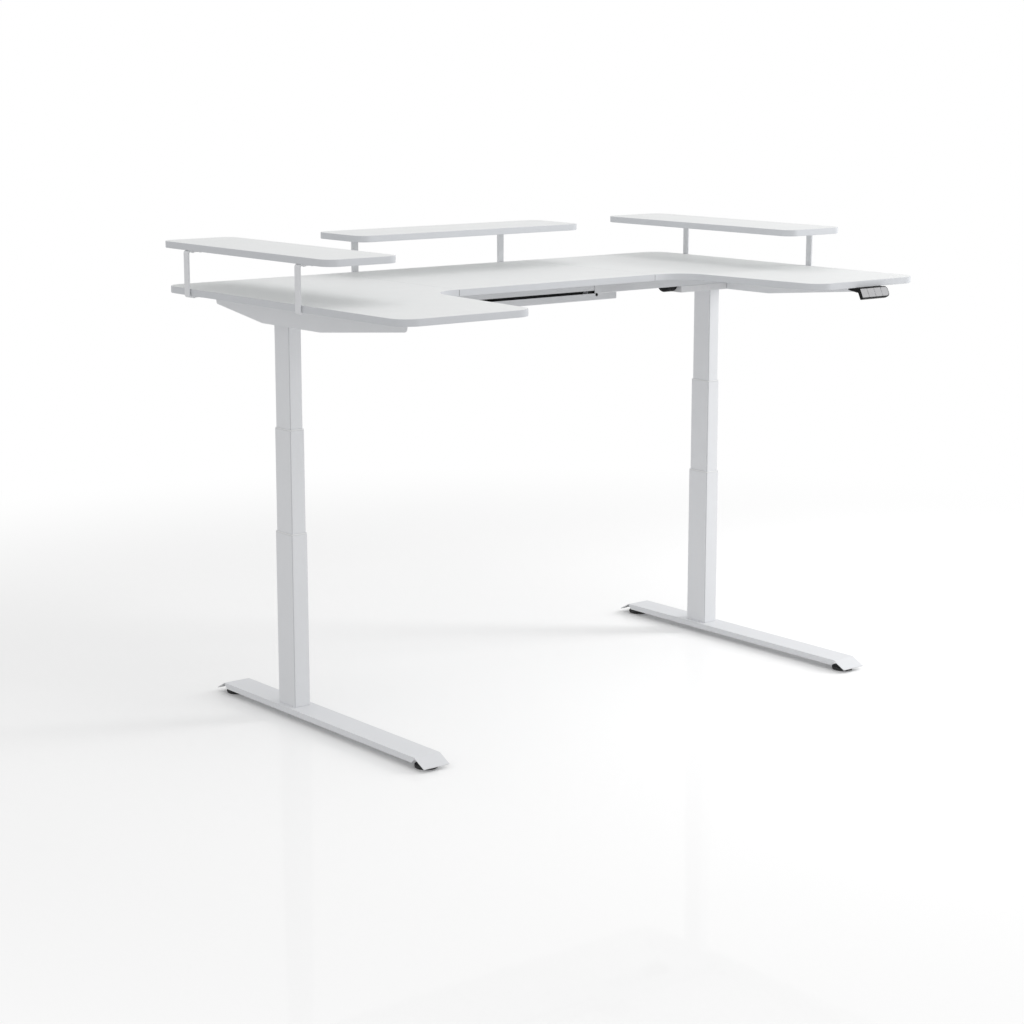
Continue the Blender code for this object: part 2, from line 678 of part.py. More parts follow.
def build_beam():
    """Centre rail with its clamp bolts and the two end rails that slide over it."""
    radius = BOLT_RADIUS + GAP
    rail = add_piece("centre_rail",
                     channel_mesh(CENTRE_RAIL_WIDTH, CENTRE_RAIL_HEIGHT, CENTRE_RAIL_LENGTH),
                     sideways(0, COLUMN_Y, CENTRE_RAIL_TOP), WHITE_STEEL)
    drill(rail, "centre_rail_holes", radius, CENTRE_RAIL_TOP - 2 * SHEET, CENTRE_RAIL_TOP + SHEET,
          hanger_bolt_points(-1) + hanger_bolt_points(1))
    seat = CENTRE_RAIL_TOP - SHEET
    bolt_up(rail, seat, BEAM_TOP + GAP, clamp_bolt_points(-1) + clamp_bolt_points(1))
    outer_end = SIDE_PLATE_X - SHEET - SHEET_BEND - GAP
    middle = (outer_end + END_RAIL_INNER_END) / 2
    for side, sign in SIDES.items():
        name = f"{side}_end_rail"
        mesh = channel_mesh(BEAM_WIDTH, BEAM_HEIGHT, outer_end - END_RAIL_INNER_END)
        rail = add_piece(name, mesh, sideways(sign * middle, COLUMN_Y, BEAM_TOP), WHITE_STEEL)
        drill(rail, name + "_holes", radius, BEAM_TOP - 2 * SHEET, BEAM_TOP + SHEET,
              clamp_bolt_points(sign) + head_bolt_points(sign))


def bolt_up(piece, seat, top, points):
    """Add upright bolts, fixed in a piece, with their heads below the seat."""
    unit = fastener_mesh(BOLT_HEAD, BOLT_RADIUS, top - seat - GAP)
    places = [Matrix.Translation((x, y, seat + GAP)) for x, y in points]
    cutter = add_cutter(piece.name + "_bolts", repeated_mesh(unit, places), Matrix())
    combine(piece, cutter, "UNION")


def build_tray():
    """Trough below the beam, with the control box in it."""
    wall = BEAM_WIDTH / 2 - TRAY_SHEET / 2
    floor = TRAY_BOTTOM + TRAY_SHEET / 2
    path = [(-wall, TRAY_TOP), (-wall, floor), (wall, floor), (wall, TRAY_TOP)]
    mesh = prism_mesh([strip_outline(path, TRAY_SHEET, SHEET_BEND)], TRAY_LENGTH)
    tray = add_piece("cable_tray", mesh, sideways(0, COLUMN_Y), WHITE_STEEL)
    holes = hole_mesh(TRAY_BOLT[0] + GAP, -BEAM_WIDTH, BEAM_WIDTH)
    places = [placed((sign * TRAY_BOLT_X, COLUMN_Y, TRAY_TOP - TRAY_BOLT_DROP), AXIS_X, AXIS_Z)
              for sign in SIDES.values()]
    combine(tray, add_cutter("tray_bolt_holes", repeated_mesh(holes, places), Matrix()),
            "DIFFERENCE")
    length, width, height = CONTROL_BOX
    bottom = TRAY_BOTTOM + TRAY_SHEET + GAP
    box = add_piece("control_box", prism_mesh([rectangle(length, width)], height),
                    lying(CONTROL_BOX_X, COLUMN_Y, bottom + height / 2), BLACK_PLASTIC)
    soften(box, CONTROL_BOX_EDGE)


def build_hangers():
    """Bent straps, with their bolts, that hang the tray from the centre rail."""
    low_y = BEAM_WIDTH / 2 - TRAY_SHEET - GAP - HANGER_SHEET / 2
    high_y = CENTRE_RAIL_WIDTH / 2 - SHEET - GAP - HANGER_SHEET / 2
    high_z = CENTRE_RAIL_TOP - SHEET - GAP - HANGER_SHEET / 2
    foot_z = TRAY_BOTTOM + TRAY_SHEET + SHEET_BEND + GAP
    jog_z = TRAY_TOP - SHEET / 2
    half = [(low_y, foot_z), (low_y, jog_z), (high_y, jog_z + low_y - high_y), (high_y, high_z)]
    path = half + [(-y, z) for y, z in half[::-1]]
    outline = strip_outline(path, HANGER_SHEET, 0.0)
    bolt = fastener_mesh(TRAY_BOLT_HEAD, *TRAY_BOLT)
    for side, sign in SIDES.items():
        name = f"{side}_tray_hanger"
        hanger = add_piece(name, prism_mesh([outline], HANGER_WIDTH),
                           sideways(sign * HANGER_X, COLUMN_Y), BLACK_PLASTIC)
        bolt_up(hanger, high_z - HANGER_SHEET / 2, BOLT_TOP, hanger_bolt_points(sign))
        places = []
        for face in (-1, 1):
            spot = (sign * TRAY_BOLT_X, COLUMN_Y + face * (BEAM_WIDTH / 2 + GAP),
                    TRAY_TOP - TRAY_BOLT_DROP)
            places.append(Matrix.Translation(spot) @ Matrix.Rotation(face * math.pi / 2, 4, "X"))
        combine(hanger, add_cutter(name + "_tray_bolts", repeated_mesh(bolt, places), Matrix()),
                "UNION")


def build_heads():
    """Column heads with their gear housings and bolts, and the motors beside them."""
    outer_end = SIDE_PLATE_X - SHEET - GAP
    length = outer_end - HEAD_INNER_END
    middle = (outer_end + HEAD_INNER_END) / 2
    low = HEAD_TOP - HEAD_CORNER
    housing_length = GEAR_HOUSING_OUT + HEAD_REACH - HEAD_CORNER
    housing_x = COLUMN_X + GEAR_HOUSING_OUT - housing_length / 2
    socket_top = HEAD_BOTTOM + HEAD_SOCKET + GAP
    for side, sign in SIDES.items():
        name = f"{side}_gearbox"
        axis = lying(sign * COLUMN_X, COLUMN_Y, 0)
        block = prism_mesh([rectangle(length, BEAM_WIDTH, HEAD_CORNER)], HEAD_HEIGHT)
        head = add_piece(name, block, lying(sign * middle, COLUMN_Y, HEAD_BOTTOM + HEAD_HEIGHT / 2),
                         GREY_CASTING)
        housing = prism_mesh([rectangle(housing_length, GEAR_HOUSING_WIDTH, HEAD_CORNER)],
                             GEAR_HOUSING_TOP - low)
        combine(head, add_cutter(name + "_housing", housing,
                                 lying(sign * housing_x, COLUMN_Y, (low + GEAR_HOUSING_TOP) / 2)),
                "UNION")
        socket = prism_mesh([rectangle(INNER_TUBE[0] + 2 * GAP, INNER_TUBE[1] + 2 * GAP,
                                       TUBE_CORNER + GAP)], 2 * (socket_top - HEAD_BOTTOM))
        combine(head, add_cutter(name + "_socket", socket,
                                 lying(sign * COLUMN_X, COLUMN_Y, HEAD_BOTTOM)), "DIFFERENCE")
        bore = hole_mesh(DRIVE_RADIUS + RUNNING_GAP, socket_top - SHEET, DRIVE_TOP + GAP,
                         TURNED_STEPS)
        combine(head, add_cutter(name + "_spindle_bore", bore, axis), "DIFFERENCE")
        bolts = hole_mesh(BOLT_RADIUS, HEAD_TOP - HEAD_CORNER, BOLT_TOP)
        places = [Matrix.Translation((x, y, 0)) for x, y in head_bolt_points(sign)]
        combine(head, add_cutter(name + "_bolts", repeated_mesh(bolts, places), Matrix()), "UNION")
        drill(head, name + "_bolt_recesses", BOLT_HEAD[0], HEAD_BOTTOM - SHEET,
              HEAD_BOTTOM + HEAD_CORNER, head_bolt_points(sign))
        build_motor(side, sign, head)


def build_motor(side, sign, head):
    """Motor that lies along the beam with its shaft in the gear housing."""
    shaft_radius, shaft_length = MOTOR_SHAFT
    cap_radius, cap_length = MOTOR_CAP
    start = HEAD_CORNER + GAP
    profile = [(0.0, MOTOR_LENGTH + cap_length), (cap_radius, MOTOR_LENGTH + cap_length),
               (cap_radius, MOTOR_LENGTH), (MOTOR_RADIUS - SHEET, MOTOR_LENGTH),
               (MOTOR_RADIUS, MOTOR_LENGTH - SHEET), (MOTOR_RADIUS, GAP),
               (shaft_radius, GAP), (shaft_radius, -start - shaft_length),
               (0.0, -start - shaft_length)]
    place = placed((sign * HEAD_INNER_END, COLUMN_Y, MOTOR_Z), AXIS_Y, -sign * AXIS_Z)
    add_piece(f"{side}_motor", turned_mesh(profile), place, BLACK_PLASTIC)
    bore = hole_mesh(shaft_radius + GAP, -start - shaft_length - GAP, SHEET, TURNED_STEPS)
    combine(head, add_cutter(f"{side}_motor_bore", bore, place), "DIFFERENCE")


def tube_mesh(size, length, wall=TUBE_WALL):
    """Rectangular tube about Z with rounded corners."""
    width, depth = size
    outside = rectangle(width, depth, TUBE_CORNER)
    inside = rectangle(width - 2 * wall, depth - 2 * wall, TUBE_CORNER - wall)
    return prism_mesh([outside, inside], length)


def add_tube(name, size, bottom, top, sign):
    """Tube of a column between two heights."""
    return add_piece(name, tube_mesh(size, top - bottom),
                     lying(sign * COLUMN_X, COLUMN_Y, (bottom + top) / 2), WHITE_STEEL)


def add_collar(name, tube, inner, tube_top, sign):
    """Plastic collar on a tube's end, with a lip down inside the tube."""
    top = tube_top + GAP + COLLAR
    bottom = tube_top - COLLAR_LIP
    x = sign * COLUMN_X
    ring = prism_mesh([rectangle(*tube, TUBE_CORNER)], top - bottom)
    collar = add_piece(name, ring, lying(x, COLUMN_Y, (top + bottom) / 2), WHITE_PLASTIC)
    bore = rectangle(inner[0] + 2 * GAP, inner[1] + 2 * GAP, TUBE_CORNER)
    combine(collar, add_cutter(name + "_bore", prism_mesh([bore], 2 * (top - bottom)),
                               lying(x, COLUMN_Y, (top + bottom) / 2)), "DIFFERENCE")
    shrink = 2 * (TUBE_WALL + GAP)
    lip = rectangle(tube[0] - shrink, tube[1] - shrink, TUBE_CORNER - TUBE_WALL)
    around = rectangle(tube[0] + COLLAR_LIP, tube[1] + COLLAR_LIP)
    sleeve = prism_mesh([around, lip], 2 * COLLAR_LIP)
    combine(collar, add_cutter(name + "_lip", sleeve,
                               lying(x, COLUMN_Y, tube_top + GAP - COLLAR_LIP)), "DIFFERENCE")


def add_guide(name, tube, tube_bottom, radius, profile, sign):
    """Guide tube that stands on a plate in the lower end of a column tube."""
    shrink = 2 * (TUBE_WALL + GAP)
    outline = rectangle(tube[0] - shrink, tube[1] - shrink, TUBE_CORNER - TUBE_WALL)
    hole = circle(radius - GUIDE_WALL / 2, steps=TURNED_STEPS)
    plate = prism_mesh([outline, hole], GUIDE_FLANGE)
    guide = add_piece(name, plate,
                      lying(sign * COLUMN_X, COLUMN_Y, tube_bottom + GUIDE_FLANGE / 2), BARE_STEEL)
    stem = add_cutter(name + "_stem", turned_mesh(profile, closed=True),
                      lying(sign * COLUMN_X, COLUMN_Y, 0))
    combine(guide, stem, "UNION")
    return guide


def build_columns():
    """The nested tubes of each column, their collars and the spindle drive."""
    for side, sign in SIDES.items():
        add_tube(f"{side}_outer_tube", OUTER_TUBE, FOOT_TOP + GAP, OUTER_TOP, sign)
        add_tube(f"{side}_middle_tube", MIDDLE_TUBE, MIDDLE_BOTTOM, MIDDLE_TOP, sign)
        add_tube(f"{side}_inner_tube", INNER_TUBE, INNER_BOTTOM, HEAD_BOTTOM + HEAD_SOCKET, sign)
        add_collar(f"{side}_outer_collar", OUTER_TUBE, MIDDLE_TUBE, OUTER_TOP, sign)
        add_collar(f"{side}_middle_collar", MIDDLE_TUBE, INNER_TUBE, MIDDLE_TOP, sign)
        build_spindles(side, sign)


def build_spindles(side, sign):
    """Drive spindle, hollow spindle, their nuts and the guides that carry them."""
    axis = lying(sign * COLUMN_X, COLUMN_Y, 0)
    nut_top = MIDDLE_TOP - NUT_BELOW_TOP
    guide_top = nut_top - NUT_HEIGHT - GAP
    spigot = guide_top - NUT_SPIGOT
    collar_top = spigot - GAP
    collar_bottom = collar_top - THRUST_COLLAR
    ledge_top = collar_bottom - GAP
    ledge_bottom = ledge_top - THRUST_LEDGE
    upper_bore = UPPER_GUIDE_RADIUS - GUIDE_WALL
    step = RUNNING_GAP

    hollow_bottom = FOOT_TOP + GAP + GUIDE_FLANGE + LOW_CLEAR + STAGE_LIFT
    lower_top = hollow_bottom + STAGE_LEFT + THREAD_HOLD
    lower_bore = LOWER_GUIDE_RADIUS - GUIDE_WALL
    nut_bore = HOLLOW_RADIUS + GAP
    profile = [(LOWER_GUIDE_RADIUS, lower_top), (LOWER_GUIDE_RADIUS, FOOT_TOP + GAP + step),
               (lower_bore, FOOT_TOP + GAP + step), (lower_bore, lower_top - LOWER_NUT),
               (nut_bore, lower_top - LOWER_NUT), (nut_bore, lower_top)]
    guide = add_guide(f"{side}_lower_guide", OUTER_TUBE, FOOT_TOP + GAP, LOWER_GUIDE_RADIUS,
                      profile, sign)
    bolt_up(guide, FOOT_TOP - FOOT_SHEET - 2 * GAP, FOOT_TOP + GUIDE_FLANGE - GAP,
            foot_bolt_points(sign))

    profile = [(UPPER_GUIDE_RADIUS, guide_top), (UPPER_GUIDE_RADIUS, MIDDLE_BOTTOM + step),
               (upper_bore, MIDDLE_BOTTOM + step), (upper_bore, ledge_bottom),
               (HOLLOW_RADIUS + step, ledge_bottom), (HOLLOW_RADIUS + step, ledge_top),
               (upper_bore, ledge_top), (upper_bore, guide_top)]
    add_guide(f"{side}_upper_guide", MIDDLE_TUBE, MIDDLE_BOTTOM, UPPER_GUIDE_RADIUS, profile, sign)

    profile = [(UPPER_GUIDE_RADIUS, nut_top), (UPPER_GUIDE_RADIUS, guide_top + GAP),
               (upper_bore - GAP, guide_top + GAP), (upper_bore - GAP, spigot),
               (DRIVE_RADIUS + GAP, spigot), (DRIVE_RADIUS + GAP, nut_top)]
    add_piece(f"{side}_spindle_nut", turned_mesh(profile, closed=True), axis, BRONZE)

    bore = DRIVE_RADIUS + RUNNING_GAP
    profile = [(upper_bore - step, collar_top), (upper_bore - step, collar_bottom),
               (HOLLOW_RADIUS, collar_bottom), (HOLLOW_RADIUS, hollow_bottom),
               (bore, hollow_bottom), (bore, collar_top)]
    add_piece(f"{side}_hollow_spindle", turned_mesh(profile, closed=True), axis, BARE_STEEL)

    bottom = spigot - STAGE_LEFT - THREAD_HOLD
    profile = [(0.0, DRIVE_TOP), (DRIVE_RADIUS, DRIVE_TOP), (DRIVE_RADIUS, bottom), (0.0, bottom)]
    add_piece(f"{side}_drive_spindle", turned_mesh(profile), axis, BARE_STEEL)


def foot_bolt_points(sign):
    """Where the bolts that hold a column on its foot stand."""
    across, along = FOOT_BOLTS
    return [(sign * COLUMN_X + x, COLUMN_Y + y) for x in (-across, across) for y in (-along, along)]


def glide_points(sign):
    """Where a foot's glides stand, front and rear."""
    x = sign * COLUMN_X
    return {"front": (x, COLUMN_Y - FOOT_FRONT + GLIDE_INSET),
            "rear": (x, COLUMN_Y + FOOT_REAR - GLIDE_INSET)}


def build_feet():
    """Folded feet with sloping ends, their bolts and the levelling glides."""
    front = COLUMN_Y - FOOT_FRONT
    rear = COLUMN_Y + FOOT_REAR
    wall = FOOT_WIDTH / 2 - FOOT_SHEET / 2
    skin = FOOT_TOP - FOOT_SHEET / 2
    low = FOOT_TOP - FOOT_HEIGHT
    channel = strip_outline([(-wall, low), (-wall, skin), (wall, skin), (wall, low)],
                            FOOT_SHEET, SHEET_BEND)
    ends = strip_outline([(front - FOOT_TOE, skin - FOOT_DROP), (front, skin), (rear, skin),
                          (rear + FOOT_HEEL, skin - FOOT_DROP)], FOOT_SHEET, SHEET_BEND)
    notches = [[(front - FOOT_SHEET, skin - FOOT_SHEET), (front - FOOT_SHEET, low - FOOT_SHEET),
                (front + FOOT_NOTCH, low - FOOT_SHEET)],
               [(rear + FOOT_SHEET, skin - FOOT_SHEET), (rear - FOOT_NOTCH, low - FOOT_SHEET),
                (rear + FOOT_SHEET, low - FOOT_SHEET)]]
    nut_radius, nut_height = WELD_NUT
    for side, sign in SIDES.items():
        name = f"{side}_foot"
        x = sign * COLUMN_X
        foot = add_piece(name, prism_mesh([channel], rear - front),
                         facing((front + rear) / 2, x), WHITE_STEEL)
        combine(foot, add_cutter(name + "_notches", prism_mesh(notches, 2 * FOOT_WIDTH),
                                 sideways(x)), "DIFFERENCE")
        combine(foot, add_cutter(name + "_ends", prism_mesh([ends], FOOT_WIDTH),
                                 sideways(x)), "UNION")
        nuts = repeated_mesh(hole_mesh(nut_radius, skin - nut_height, skin, 6),
                             [Matrix.Translation((*spot, 0)) for spot in glide_points(sign).values()])
        combine(foot, add_cutter(name + "_weld_nuts", nuts, Matrix()), "UNION")
        drill(foot, name + "_stem_holes", STEM_RADIUS + RUNNING_GAP, low, STEM_TIP + RUNNING_GAP,
              glide_points(sign).values(), TURNED_STEPS)
        drill(foot, name + "_bolt_holes", BOLT_RADIUS + GAP, low, FOOT_TOP + FOOT_SHEET,
              foot_bolt_points(sign))
        profile = [(0.0, STEM_TIP), (STEM_RADIUS, STEM_TIP), (STEM_RADIUS, GLIDE_HEIGHT),
                   (GLIDE_RADIUS - GLIDE_TAPER, GLIDE_HEIGHT), (GLIDE_RADIUS, GLIDE_TAPER),
                   (GLIDE_RADIUS - GLIDE_TAPER / 2, 0.0), (0.0, 0.0)]
        for end, spot in glide_points(sign).items():
            add_piece(f"{side}_{end}_glide", turned_mesh(profile), lying(*spot, 0), BLACK_PLASTIC)


def build_handset():
    """Tilted handset that hangs under the right wing's front edge, and its keys."""
    up = Vector((0, math.sin(HANDSET_TILT), math.cos(HANDSET_TILT)))
    out = AXIS_X.cross(up)
    face_top = Vector((HANDSET_LEFT + HANDSET_WIDTH / 2, FRONT - HANDSET_AHEAD,
                       TOP_UNDER + HANDSET_RISE))
    middle = face_top - up * HANDSET_FACE / 2
    across = HANDSET_WIDTH / 2
    half = HANDSET_FACE / 2
    corners = [(-across, -half), (across, -half), (across, half), (-across, half)]
    radii = [HANDSET_EDGE, HANDSET_END, HANDSET_END, HANDSET_EDGE]
    body = add_piece("handset_housing", prism_mesh([rounded_outline(corners, radii)], HANDSET_THICK),
                     placed(middle - out * HANDSET_THICK / 2, AXIS_X, up), BLACK_PLASTIC)
    soften(body, HANDSET_EDGE, 1)

    rear_thick, front_thick = HANDSET_FLANGE
    top = TOP_UNDER - GAP
    back = face_top - out * HANDSET_THICK
    inside = face_top - out * HANDSET_THICK / 2
    deep = inside - up * (front_thick + HANDSET_EDGE)
    flange = [(FRONT + HANDSET_REACH, top), (back.y, top), (inside.y, inside.z - HANDSET_EDGE),
              (deep.y, deep.z), (FRONT - HANDSET_EDGE, top - front_thick),
              (FRONT + HANDSET_REACH, top - rear_thick)]
    width = HANDSET_WIDTH - HANDSET_END
    combine(body, add_cutter("handset_flange", prism_mesh([flange], width),
                             sideways(HANDSET_LEFT + width / 2 + HANDSET_EDGE)), "UNION")

    side_margin, top_margin = KEY_MARGIN
    across -= side_margin
    half -= top_margin
    end = HANDSET_END - top_margin
    corners = [(-across, -half), (across, -half), (across, half), (-across, half)]
    pocket = prism_mesh([rounded_outline(corners, [KEY_CORNER, end, end, KEY_CORNER])],
                        2 * KEY_POCKET)
    combine(body, add_cutter("handset_pocket", pocket, placed(middle, AXIS_X, up)), "DIFFERENCE")

    room = 2 * across - 2 * GAP - (KEYS - 1) * KEY_GAP
    key_width = room / KEYS
    half -= GAP
    for index in range(KEYS):
        left = -across + GAP + index * (key_width + KEY_GAP)
        right = left + key_width
        corners = [(left, -half), (right, -half), (right, half), (left, half)]
        outer = end - GAP if index == KEYS - 1 else KEY_CORNER
        outline = rounded_outline(corners, [KEY_CORNER, outer, outer, KEY_CORNER])
        add_piece(f"handset_key_{index + 1}", prism_mesh([outline], KEY_THICK),
                  placed(middle - out * KEY_THICK / 2, AXIS_X, up), GREY_PLASTIC)


def add_carrier(name, place, parent=None):
    """Empty on a joint's axis that carries the pieces which move together."""
    carrier = bpy.data.objects.new(name, None)
    carrier.empty_display_size = SHELF_CLEAR
    PIECES.objects.link(carrier)
    carrier.matrix_world = Matrix.Translation(place)
    if parent:
        attach(carrier, parent)
    return carrier


def attach(piece, carrier):
    """Parent a piece to its carrier and leave it where it stands."""
    place = piece.matrix_world.copy()
    piece.parent = carrier
    piece.matrix_parent_inverse = Matrix.Translation(-carrier_place(carrier))
    piece.matrix_world = place


def carrier_place(carrier):
    """World position of a carrier, which is never turned."""
    bpy.context.view_layer.update()
    return carrier.matrix_world.translation


def attach_all():
    """Hang every piece on the stage of the desk that it rides."""
    lift = add_carrier("lift_carrier", (0, COLUMN_Y, HEAD_BOTTOM))
    carriers = {}
    for side, sign in SIDES.items():
        x = sign * COLUMN_X
        carriers[side, "base"] = add_carrier(f"{side}_base_carrier", (x, COLUMN_Y, FOOT_TOP))
        carriers[side, "middle"] = add_carrier(f"{side}_stage_carrier", (x, COLUMN_Y, MIDDLE_BOTTOM))
    base = ("foot", "outer_tube", "outer_collar", "lower_guide",
            "front_glide", "rear_glide")
    middle = ("middle_tube", "middle_collar", "upper_guide", "spindle_nut", "hollow_spindle")
    for piece in [item for item in PIECES.objects if item.type == "MESH"]:
        side, _, rest = piece.name.partition("_")
        if rest in base:
            attach(piece, carriers[side, "base"])
        elif rest in middle:
            attach(piece, carriers[side, "middle"])
        else:
            attach(piece, lift)


def build():
    """The whole desk."""
    build_top()
    build_joining_plates()
    build_shelves()
    build_risers()
    build_side_brackets()
    build_beam()
    build_tray()
    build_hangers()
    build_heads()
    build_columns()
    build_feet()
    build_handset()
    attach_all()


build()
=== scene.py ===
"""Looks of the u-shaped standing desk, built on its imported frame.

Metres, in the frame's axes: +Z up, +X to the right, -Y towards the user. Every
piece has its mesh in place and its object at the origin, as the frame's nodes do.
"""

import json
import math

import bmesh
import bpy
from mathutils import Matrix, Vector


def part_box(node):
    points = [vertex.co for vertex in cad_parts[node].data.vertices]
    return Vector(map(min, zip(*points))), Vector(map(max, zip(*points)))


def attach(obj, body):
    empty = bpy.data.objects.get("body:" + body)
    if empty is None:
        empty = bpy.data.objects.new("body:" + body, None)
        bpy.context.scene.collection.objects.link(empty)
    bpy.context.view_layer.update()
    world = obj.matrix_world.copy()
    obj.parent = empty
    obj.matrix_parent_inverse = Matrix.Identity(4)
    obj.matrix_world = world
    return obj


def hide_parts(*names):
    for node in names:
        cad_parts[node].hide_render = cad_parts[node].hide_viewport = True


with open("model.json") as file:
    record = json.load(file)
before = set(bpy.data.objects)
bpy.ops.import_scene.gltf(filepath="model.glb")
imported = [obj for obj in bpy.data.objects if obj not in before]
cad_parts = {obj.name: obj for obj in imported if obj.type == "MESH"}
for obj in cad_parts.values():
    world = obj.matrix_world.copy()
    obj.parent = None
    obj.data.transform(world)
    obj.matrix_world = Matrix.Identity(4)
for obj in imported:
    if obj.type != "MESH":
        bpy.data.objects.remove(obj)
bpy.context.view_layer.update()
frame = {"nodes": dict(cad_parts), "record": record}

# Edges, arcs and gaps
ARC_STEP = math.radians(7.5)
EDGE_STEPS = 3
FINE_EDGE = 0.0003
TURNED_STEPS = 48
FASTENER_STEPS = 24
SHARP_ANGLE = math.radians(38)
TOUCH_GAP = 0.0003              # between pieces that rest on each other
TINY = 1e-6

# Surface texture
MOTTLE_DETAIL = 4.0
GRAIN_DETAIL = 2.0
GRAIN_STRENGTH = 0.6
NOISE_SPAN = (0.3, 0.7)         # where most of a noise's values lie

# Boards
BOARD_EDGE = 0.0012
SEAM_SHARE = 0.3                # of the edge rounding, at a seam
SEAM_WIDTH = (0.0004, 0.0011)   # of the painted seam shadow, between the boards and across their edges
SEAM_PROUD = 0.00005            # of the seam's painted shadow strip, past the boards' edges
BAND_JOINT = 0.00025            # line between a board's face and its edge band
BAND_SKIN, LINE_SKIN = 1, 2     # indices of a board's second and third material
WING_REAR_WIDTH = 0.448
WING_FRONT_WIDTH = 0.405
OUTER_CORNER = 0.055
INNER_CORNER = 0.095
SHELF_CORNER = 0.036

# Risers
RISER_THICK = 0.005
RISER_BEND = 0.003
RISER_EDGE = 0.0006
RISER_SCREWS = (0.022, 0.046)   # from the bar's outer face

# Columns
TUBE_WALL = 0.0015
TUBE_CORNER = 0.004
CORNER_SLOPE = 0.35             # most that the two slopes of a corner's face differ, for the painted corner shade
UPRIGHT_SLOPE = 0.5             # most that an upright face leans
COLLAR_FACE = 0.003             # height of a collar above its tube
COLLAR_GAP = 0.0006             # by which its bore is wider than the tube inside

# Folded sheet
SHEET = 0.0025
SHEET_BEND = 0.0015
SIDE_FLANGE = 0.035
SIDE_FRONT_DEPTH = 0.0288       # below the top, at its front end
SIDE_REAR_DEPTH = 0.0301        # below the top, at its rear end
SIDE_SLANT = 0.011              # of its rear edge
SIDE_NOSE = 0.012
SIDE_FLAT_FRONT = 0.221         # from the column's axis to the flat stretch's front
SIDE_FLAT_REAR = 0.052          # and to its rear
FLANGE_SCREWS = (-0.399, -0.16, 0.28, 0.42)
CLAMP_BOLTS = (0.335, 0.022)    # from the desk's middle, from the beam's
PLATE_CORNER = 0.003
PLATE_THICK = 0.002
PLATE_SCREWS = (0.035, 0.19)    # from the joining plate's middle, across and along
TRAY_SHEET = 0.0015
TRAY_BOLT = (0.277, 0.0040)     # from the desk's middle, below the tray's edge
BOX_CORNER = 0.004
BOX_EDGE = 0.003

# Column head and motor
HEAD_CORNER = 0.003
HEAD_EDGE = 0.001
HEAD_HEIGHT = 0.0191
HEAD_BOLTS = ((0.628, 0.7825), 0.0355)   # from the desk's middle, from the beam's
HEAD_BOLT_SINK = 0.003
HOUSING_END = 0.790             # from the desk's middle
HOUSING_WIDTH = 0.056
HOUSING_EDGE = 0.0015
HOUSING_SINK = 0.001            # into the head's top
MOTOR_FACE = 0.5                # of its radius, at the flat end
MOTOR_EDGE = 0.001
MOTOR_GROOVES = 3
MOTOR_GROOVE = 0.0008           # depth, and half the width of its floor
MOTOR_SHOULDER = ((0.0, 0.003), (0.0008, 0.0012), (0.0025, 0.0))   # within radius, before end
MOTOR_CAP = 0.005               # height of the cap on the shoulder
MOTOR_CAP_RADIUS = 0.011
MOTOR_CAP_EDGE = 0.0008

# Feet
FOOT_SHEET = 0.002
FOOT_WIDTH = 0.080
FOOT_HEIGHT = 0.0158
FOOT_TOE = 0.0405
FOOT_HEEL = 0.0383
FOOT_FALL = 0.0205              # of its sloping ends
FOOT_NOTCH = 0.014
GLIDE_RIBS = 36
GLIDE_HALF_RIB = 0.0005         # half of a rib's depth
GLIDE_SOLE = ((0.002, 0.0), (0.001, 0.0006), (0.0015, 0.0022))   # within radius, height
GLIDE_RIM = ((0.0008, 0.003), (0.0, 0.0042), (0.0, 0.008), (0.0008, 0.0092))   # the same, ribbed
GLIDE_TOP = ((0.003, 0.0098), (0.010, 0.0104))
GLIDE_HUB = ((0.009, 0.0106), (0.008, 0.012))   # radius, height
STEM_FOOT = 0.0118              # height at which it leaves the hub
STEM_RADIUS = 0.004
STEM_PITCH = 0.00125
STEM_HALF_THREAD = 0.0003       # half of the thread's depth
STEM_RINGS = 4                  # to a turn of the thread

# Handset
HANDSET_TILT = math.radians(26.3)
HANDSET_THICK = 0.011
HANDSET_END = 0.012             # radius of its round end
HANDSET_CORNER = 0.001
HANDSET_EDGE = 0.0008
HANDSET_FACE = 0.0315           # height of its front
HANDSET_LEAD = 0.00095          # of its front before the middle of the keys' nodes
HANDSET_POCKET = (0.0012, 0.0026, 0.0032)   # side margin, top margin, depth
POCKET_EDGE = 0.0002
HANDSET_FLANGE = (0.0075, 0.0125)   # thickness behind, in front
HANDSET_REACH = 0.030           # of the flange under the wing
FLANGE_STEP = 0.001             # of its edges from the housing's and the wing's
KEY_EDGE = 0.0004
KEY_CORNER = 0.0008
KEY_GAP = 0.0003                # above and below the keys
KEY_INSET = 0.00035             # of its sides, so that the gap shows
KEY_SINK = 0.0002               # of the keys' faces behind the housing's
KEY_THICK = 0.0018

# Fasteners: head radius, head height
WOOD_SCREW = (0.004, 0.0024)
BOLT = (0.005, 0.0035)
TRAY_SCREW = (0.0042, 0.002)
HEAD_PROFILE = ((1.0, 0.0), (1.0, 0.55), (0.94, 0.82), (0.78, 1.0))   # shares of the two
RECESS_FLOOR = 0.35             # of the head's height
SOCKET_SHARE = 0.42             # of the head's radius, to the socket's flats
CROSS_SHARES = (0.62, 0.14)     # of the head's radius, to an arm's end and its side

